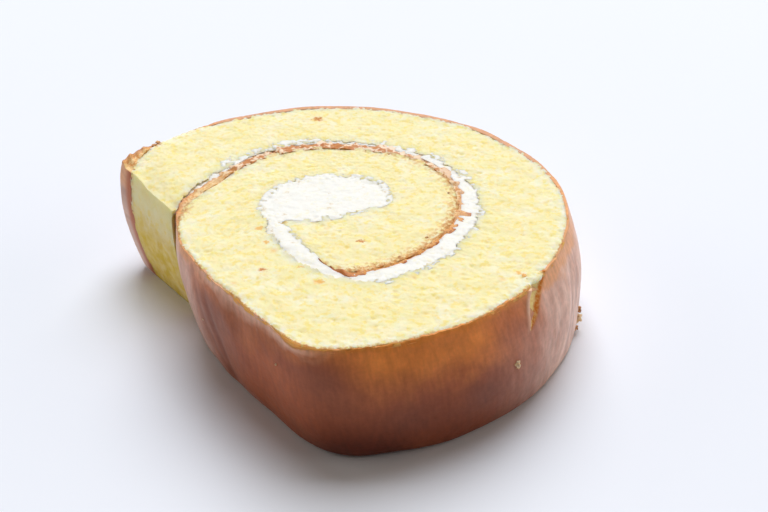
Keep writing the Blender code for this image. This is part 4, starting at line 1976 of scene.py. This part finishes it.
@dataclass
class LooseCrumbs:
    """Brown crumbs that the knife dragged along the brown line and the flap's corner."""

    plan: RollPlan
    crumb: Thing
    back: Numbers = (40, 90, 170, 190)
    in_front: float = 0.15
    line_width: float = 1.9
    corner: Span = (512, 520)
    corner_chance: float = 0.4
    corner_width: float = 3.0
    per_square_mm: float = 1.3
    sizes: Span = (0.15, 0.45)

    def build(self, finish: Finish) -> Thing:
        """Makes the crumbs.

        Args:
            finish: What they are dressed in.

        Returns:
            The crumbs in one piece.
        """
        plan, ground = self.plan, self.crumb.data.copy()
        place = np.empty(3 * len(ground.vertices))
        ground.attributes["sheet_place"].data.foreach_get("vector", place)
        run, depth, height = place.reshape(-1, 3).T
        degrees = plan.turn(np.interp(run, plan.run(plan.fine), plan.fine))
        covered = 1 - smooth_step(degrees, *plan.bare)
        strewn = self.in_front + (1 - self.in_front) * smooth_band(degrees, self.back)
        line = covered * strewn * np.exp(-((depth / self.line_width) ** 2))
        corner = self.corner_chance * smooth_step(degrees, *self.corner)
        corner *= np.exp(-((depth / self.corner_width) ** 2))
        write_marks(ground, chance=np.where(height > plan.height - 0.01, line + corner, 0))
        crumbs = add_object("brown_crumbs", ground)
        Scatter("brown crumbs", self.per_square_mm, self.sizes, finish.material(), seed=9).run(crumbs)
        return crumbs


@dataclass(frozen=True)
class Fleck:
    """One crumb that sticks to the slice: where it lies and how large it is."""

    degrees: float
    size: float
    share: float = 1.0
    radius: float | None = None
    thickness: float = 1.0


@dataclass
class StuckCrumbs:
    """The single crumbs on the wall, the rim and the cut face."""

    plan: RollPlan
    pale: tuple[Fleck, ...] = (
        Fleck(312.8, 0.75, 0.51, radius=49.0), Fleck(348, 0.95, 0.11),
        Fleck(225.1, 0.2, 0.52), Fleck(259.4, 0.2, 0.71),
    )
    brown: tuple[Fleck, ...] = (
        Fleck(348.5, 0.6, 0.19), Fleck(346, 0.55, 0.06),
        Fleck(508.3, 0.55, radius=43.7, thickness=0.3), Fleck(510.2, 0.5, radius=43.6, thickness=0.3),
    )
    orange: tuple[Fleck, ...] = (
        Fleck(324.4, 0.5, radius=46.9, thickness=0.3), Fleck(323.8, 0.4, radius=47.4, thickness=0.3),
    )
    unevenness: float = 0.6
    lump: float = 1.5

    def build(self, name: str, flecks: tuple[Fleck, ...], finish: Finish) -> Thing:
        """Makes the crumbs of one kind.

        Args:
            name: The piece's name.
            flecks: Where they stick.
            finish: What they are dressed in.

        Returns:
            The crumbs in one piece.
        """
        mesh = bmesh.new()
        for number, fleck in enumerate(flecks):
            made = bmesh.ops.create_icosphere(mesh, subdivisions=3, radius=1.0)["verts"]
            radius = fleck.radius or self.plan.skin_radius(fleck.degrees)
            plan = np.atleast_2d(self.plan.in_plan(fleck.degrees, radius))
            middle = Vector(self.plan.stand(plan, np.array([fleck.share]))[0])
            for vertex in made:
                rough = noise.noise(vertex.co * self.lump + Vector((0, 0, 10 * number)))
                spot = vertex.co * fleck.size * (1 + self.unevenness * rough)
                spot.z *= fleck.thickness
                vertex.co = (middle + spot) * METRES
        data = as_data(mesh, name)
        data.shade_smooth()
        data.materials.append(finish.material())
        return add_object(name, data)


@dataclass(frozen=True)
class Studio:
    """The floor, the light and the camera."""

    roll_axis: Span
    camera_off_axis: Span = (11.97, -224.02)
    camera_height: float = 165.1
    pitch: float = 34.5
    lens: float = 60.94
    floor_size: float = 6.0
    key_place: tuple[float, float, float] = (0.27, 2.32, 3.66)
    key_size: Span = (3.2, 3.5)
    key_power: float = 226.0
    key_colour: Colour = (0.95, 0.965, 1.0)
    side_place: tuple[float, float, float] = (1.3, 0.1, 0.55)
    side_size: Span = (1.2, 0.9)
    side_powers: Span = (3.7, 4.6)
    side_colour: Colour = (1.0, 0.90, 0.78)
    sky: Colour = (1.0, 0.86, 0.76)
    sky_strength: float = 0.1

    def build(self) -> None:
        """Sets the whole studio up."""
        self.add_floor()
        self.add_light("key", self.key_place, self.key_size, self.key_power, self.key_colour)
        x, y, z = self.side_place
        for name, power, side in zip(("left", "right"), self.side_powers, (-x, x)):
            self.add_light(name, (side, y, z), self.side_size, power, self.side_colour)
        self.add_sky()
        self.add_camera()
        bpy.context.scene.view_settings.view_transform = "Standard"

    def add_floor(self) -> None:
        """A wide plain floor."""
        mesh = bmesh.new()
        bmesh.ops.create_grid(mesh, x_segments=1, y_segments=1, size=self.floor_size / 2)
        data = as_data(mesh, "floor")
        data.materials.append(FLOOR.material())
        add_object("floor", data)

    def add_light(self, name: str, place: tuple[float, float, float], size: Span, power: float,
                  colour: Colour) -> None:
        """One soft lamp that looks at the slice.

        Args:
            name: Its name.
            place: Where it stands, in metres.
            size: Its width and its height.
            power: Its power in watts.
            colour: Its colour.
        """
        lamp = bpy.data.lights.new(name, "AREA")
        lamp.shape = "RECTANGLE"
        lamp.size, lamp.size_y = size
        lamp.energy, lamp.color = power, colour
        obj = bpy.data.objects.new(name, lamp)
        bpy.context.scene.collection.objects.link(obj)
        obj.location = place
        obj.rotation_euler = (-Vector(place)).to_track_quat("-Z", "Y").to_euler()

    def add_sky(self) -> None:
        """Pale light from all round."""
        world = bpy.data.worlds.new("sky")
        bpy.context.scene.world = world
        world.use_nodes = True
        background = world.node_tree.nodes["Background"]
        background.inputs["Color"].default_value = (*self.sky, 1.0)
        background.inputs["Strength"].default_value = self.sky_strength

    def add_camera(self) -> None:
        """The camera, at the photo's angle."""
        camera = bpy.data.cameras.new("camera")
        camera.lens = self.lens
        obj = bpy.data.objects.new("camera", camera)
        bpy.context.scene.collection.objects.link(obj)
        x, y = (axis + off for axis, off in zip(self.roll_axis, self.camera_off_axis))
        obj.location = Vector((x, y, self.camera_height)) * METRES
        obj.rotation_euler = (math.radians(90 - self.pitch), 0, 0)
        bpy.context.scene.camera = obj


def make_guides(plan: RollPlan, count: int = 1400) -> Guides:
    """The plan's two lines as objects that the rolling trees read.

    Args:
        plan: The roll's measures.
        count: Points on each line.

    Returns:
        The crumb line and the skin line, by the name of the input that takes each.
    """
    along = np.linspace(0, 1, count)
    guides = {}
    for name, line in (("Crumb Line", plan.crumb_line(along)), ("Skin Line", plan.skin_line(along))):
        data = bpy.data.meshes.new(name)
        data.from_pydata([(x, y, 0.0) for x, y in line], [], [])
        guides[name] = add_object(name, data)
    return guides


def main() -> None:
    """Builds the slice and its studio."""
    logging.basicConfig(level=logging.INFO, format="%(name)s: %(message)s")
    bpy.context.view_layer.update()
    plan = RollPlan()
    wall = WallMarks(plan)
    guides = make_guides(plan)
    crumb = SpongeCrumb(plan, wall).build(guides, CRUMB)
    settle(crumb, CRUMB, "sponge")
    settle(BrownedSkin(plan, wall).build(guides, SKIN), SKIN, "sponge")
    settle(CreamFilling(plan).build(CREAM), CREAM, "cream")
    settle(LooseCrumbs(plan, crumb).build(BROWN_CRUMBS), BROWN_CRUMBS)
    stuck = StuckCrumbs(plan)
    for name, flecks, finish in (
        ("stuck_pale", stuck.pale, PALE_CRUMBS), ("stuck_brown", stuck.brown, BROWN_CRUMBS),
        ("stuck_orange", stuck.orange, ORANGE_CRUMBS),
    ):
        settle(stuck.build(name, flecks, finish), finish)
    for guide in guides.values():
        bpy.data.objects.remove(guide)
    Studio(plan.axis).build()


if __name__ == "__main__":
    main()
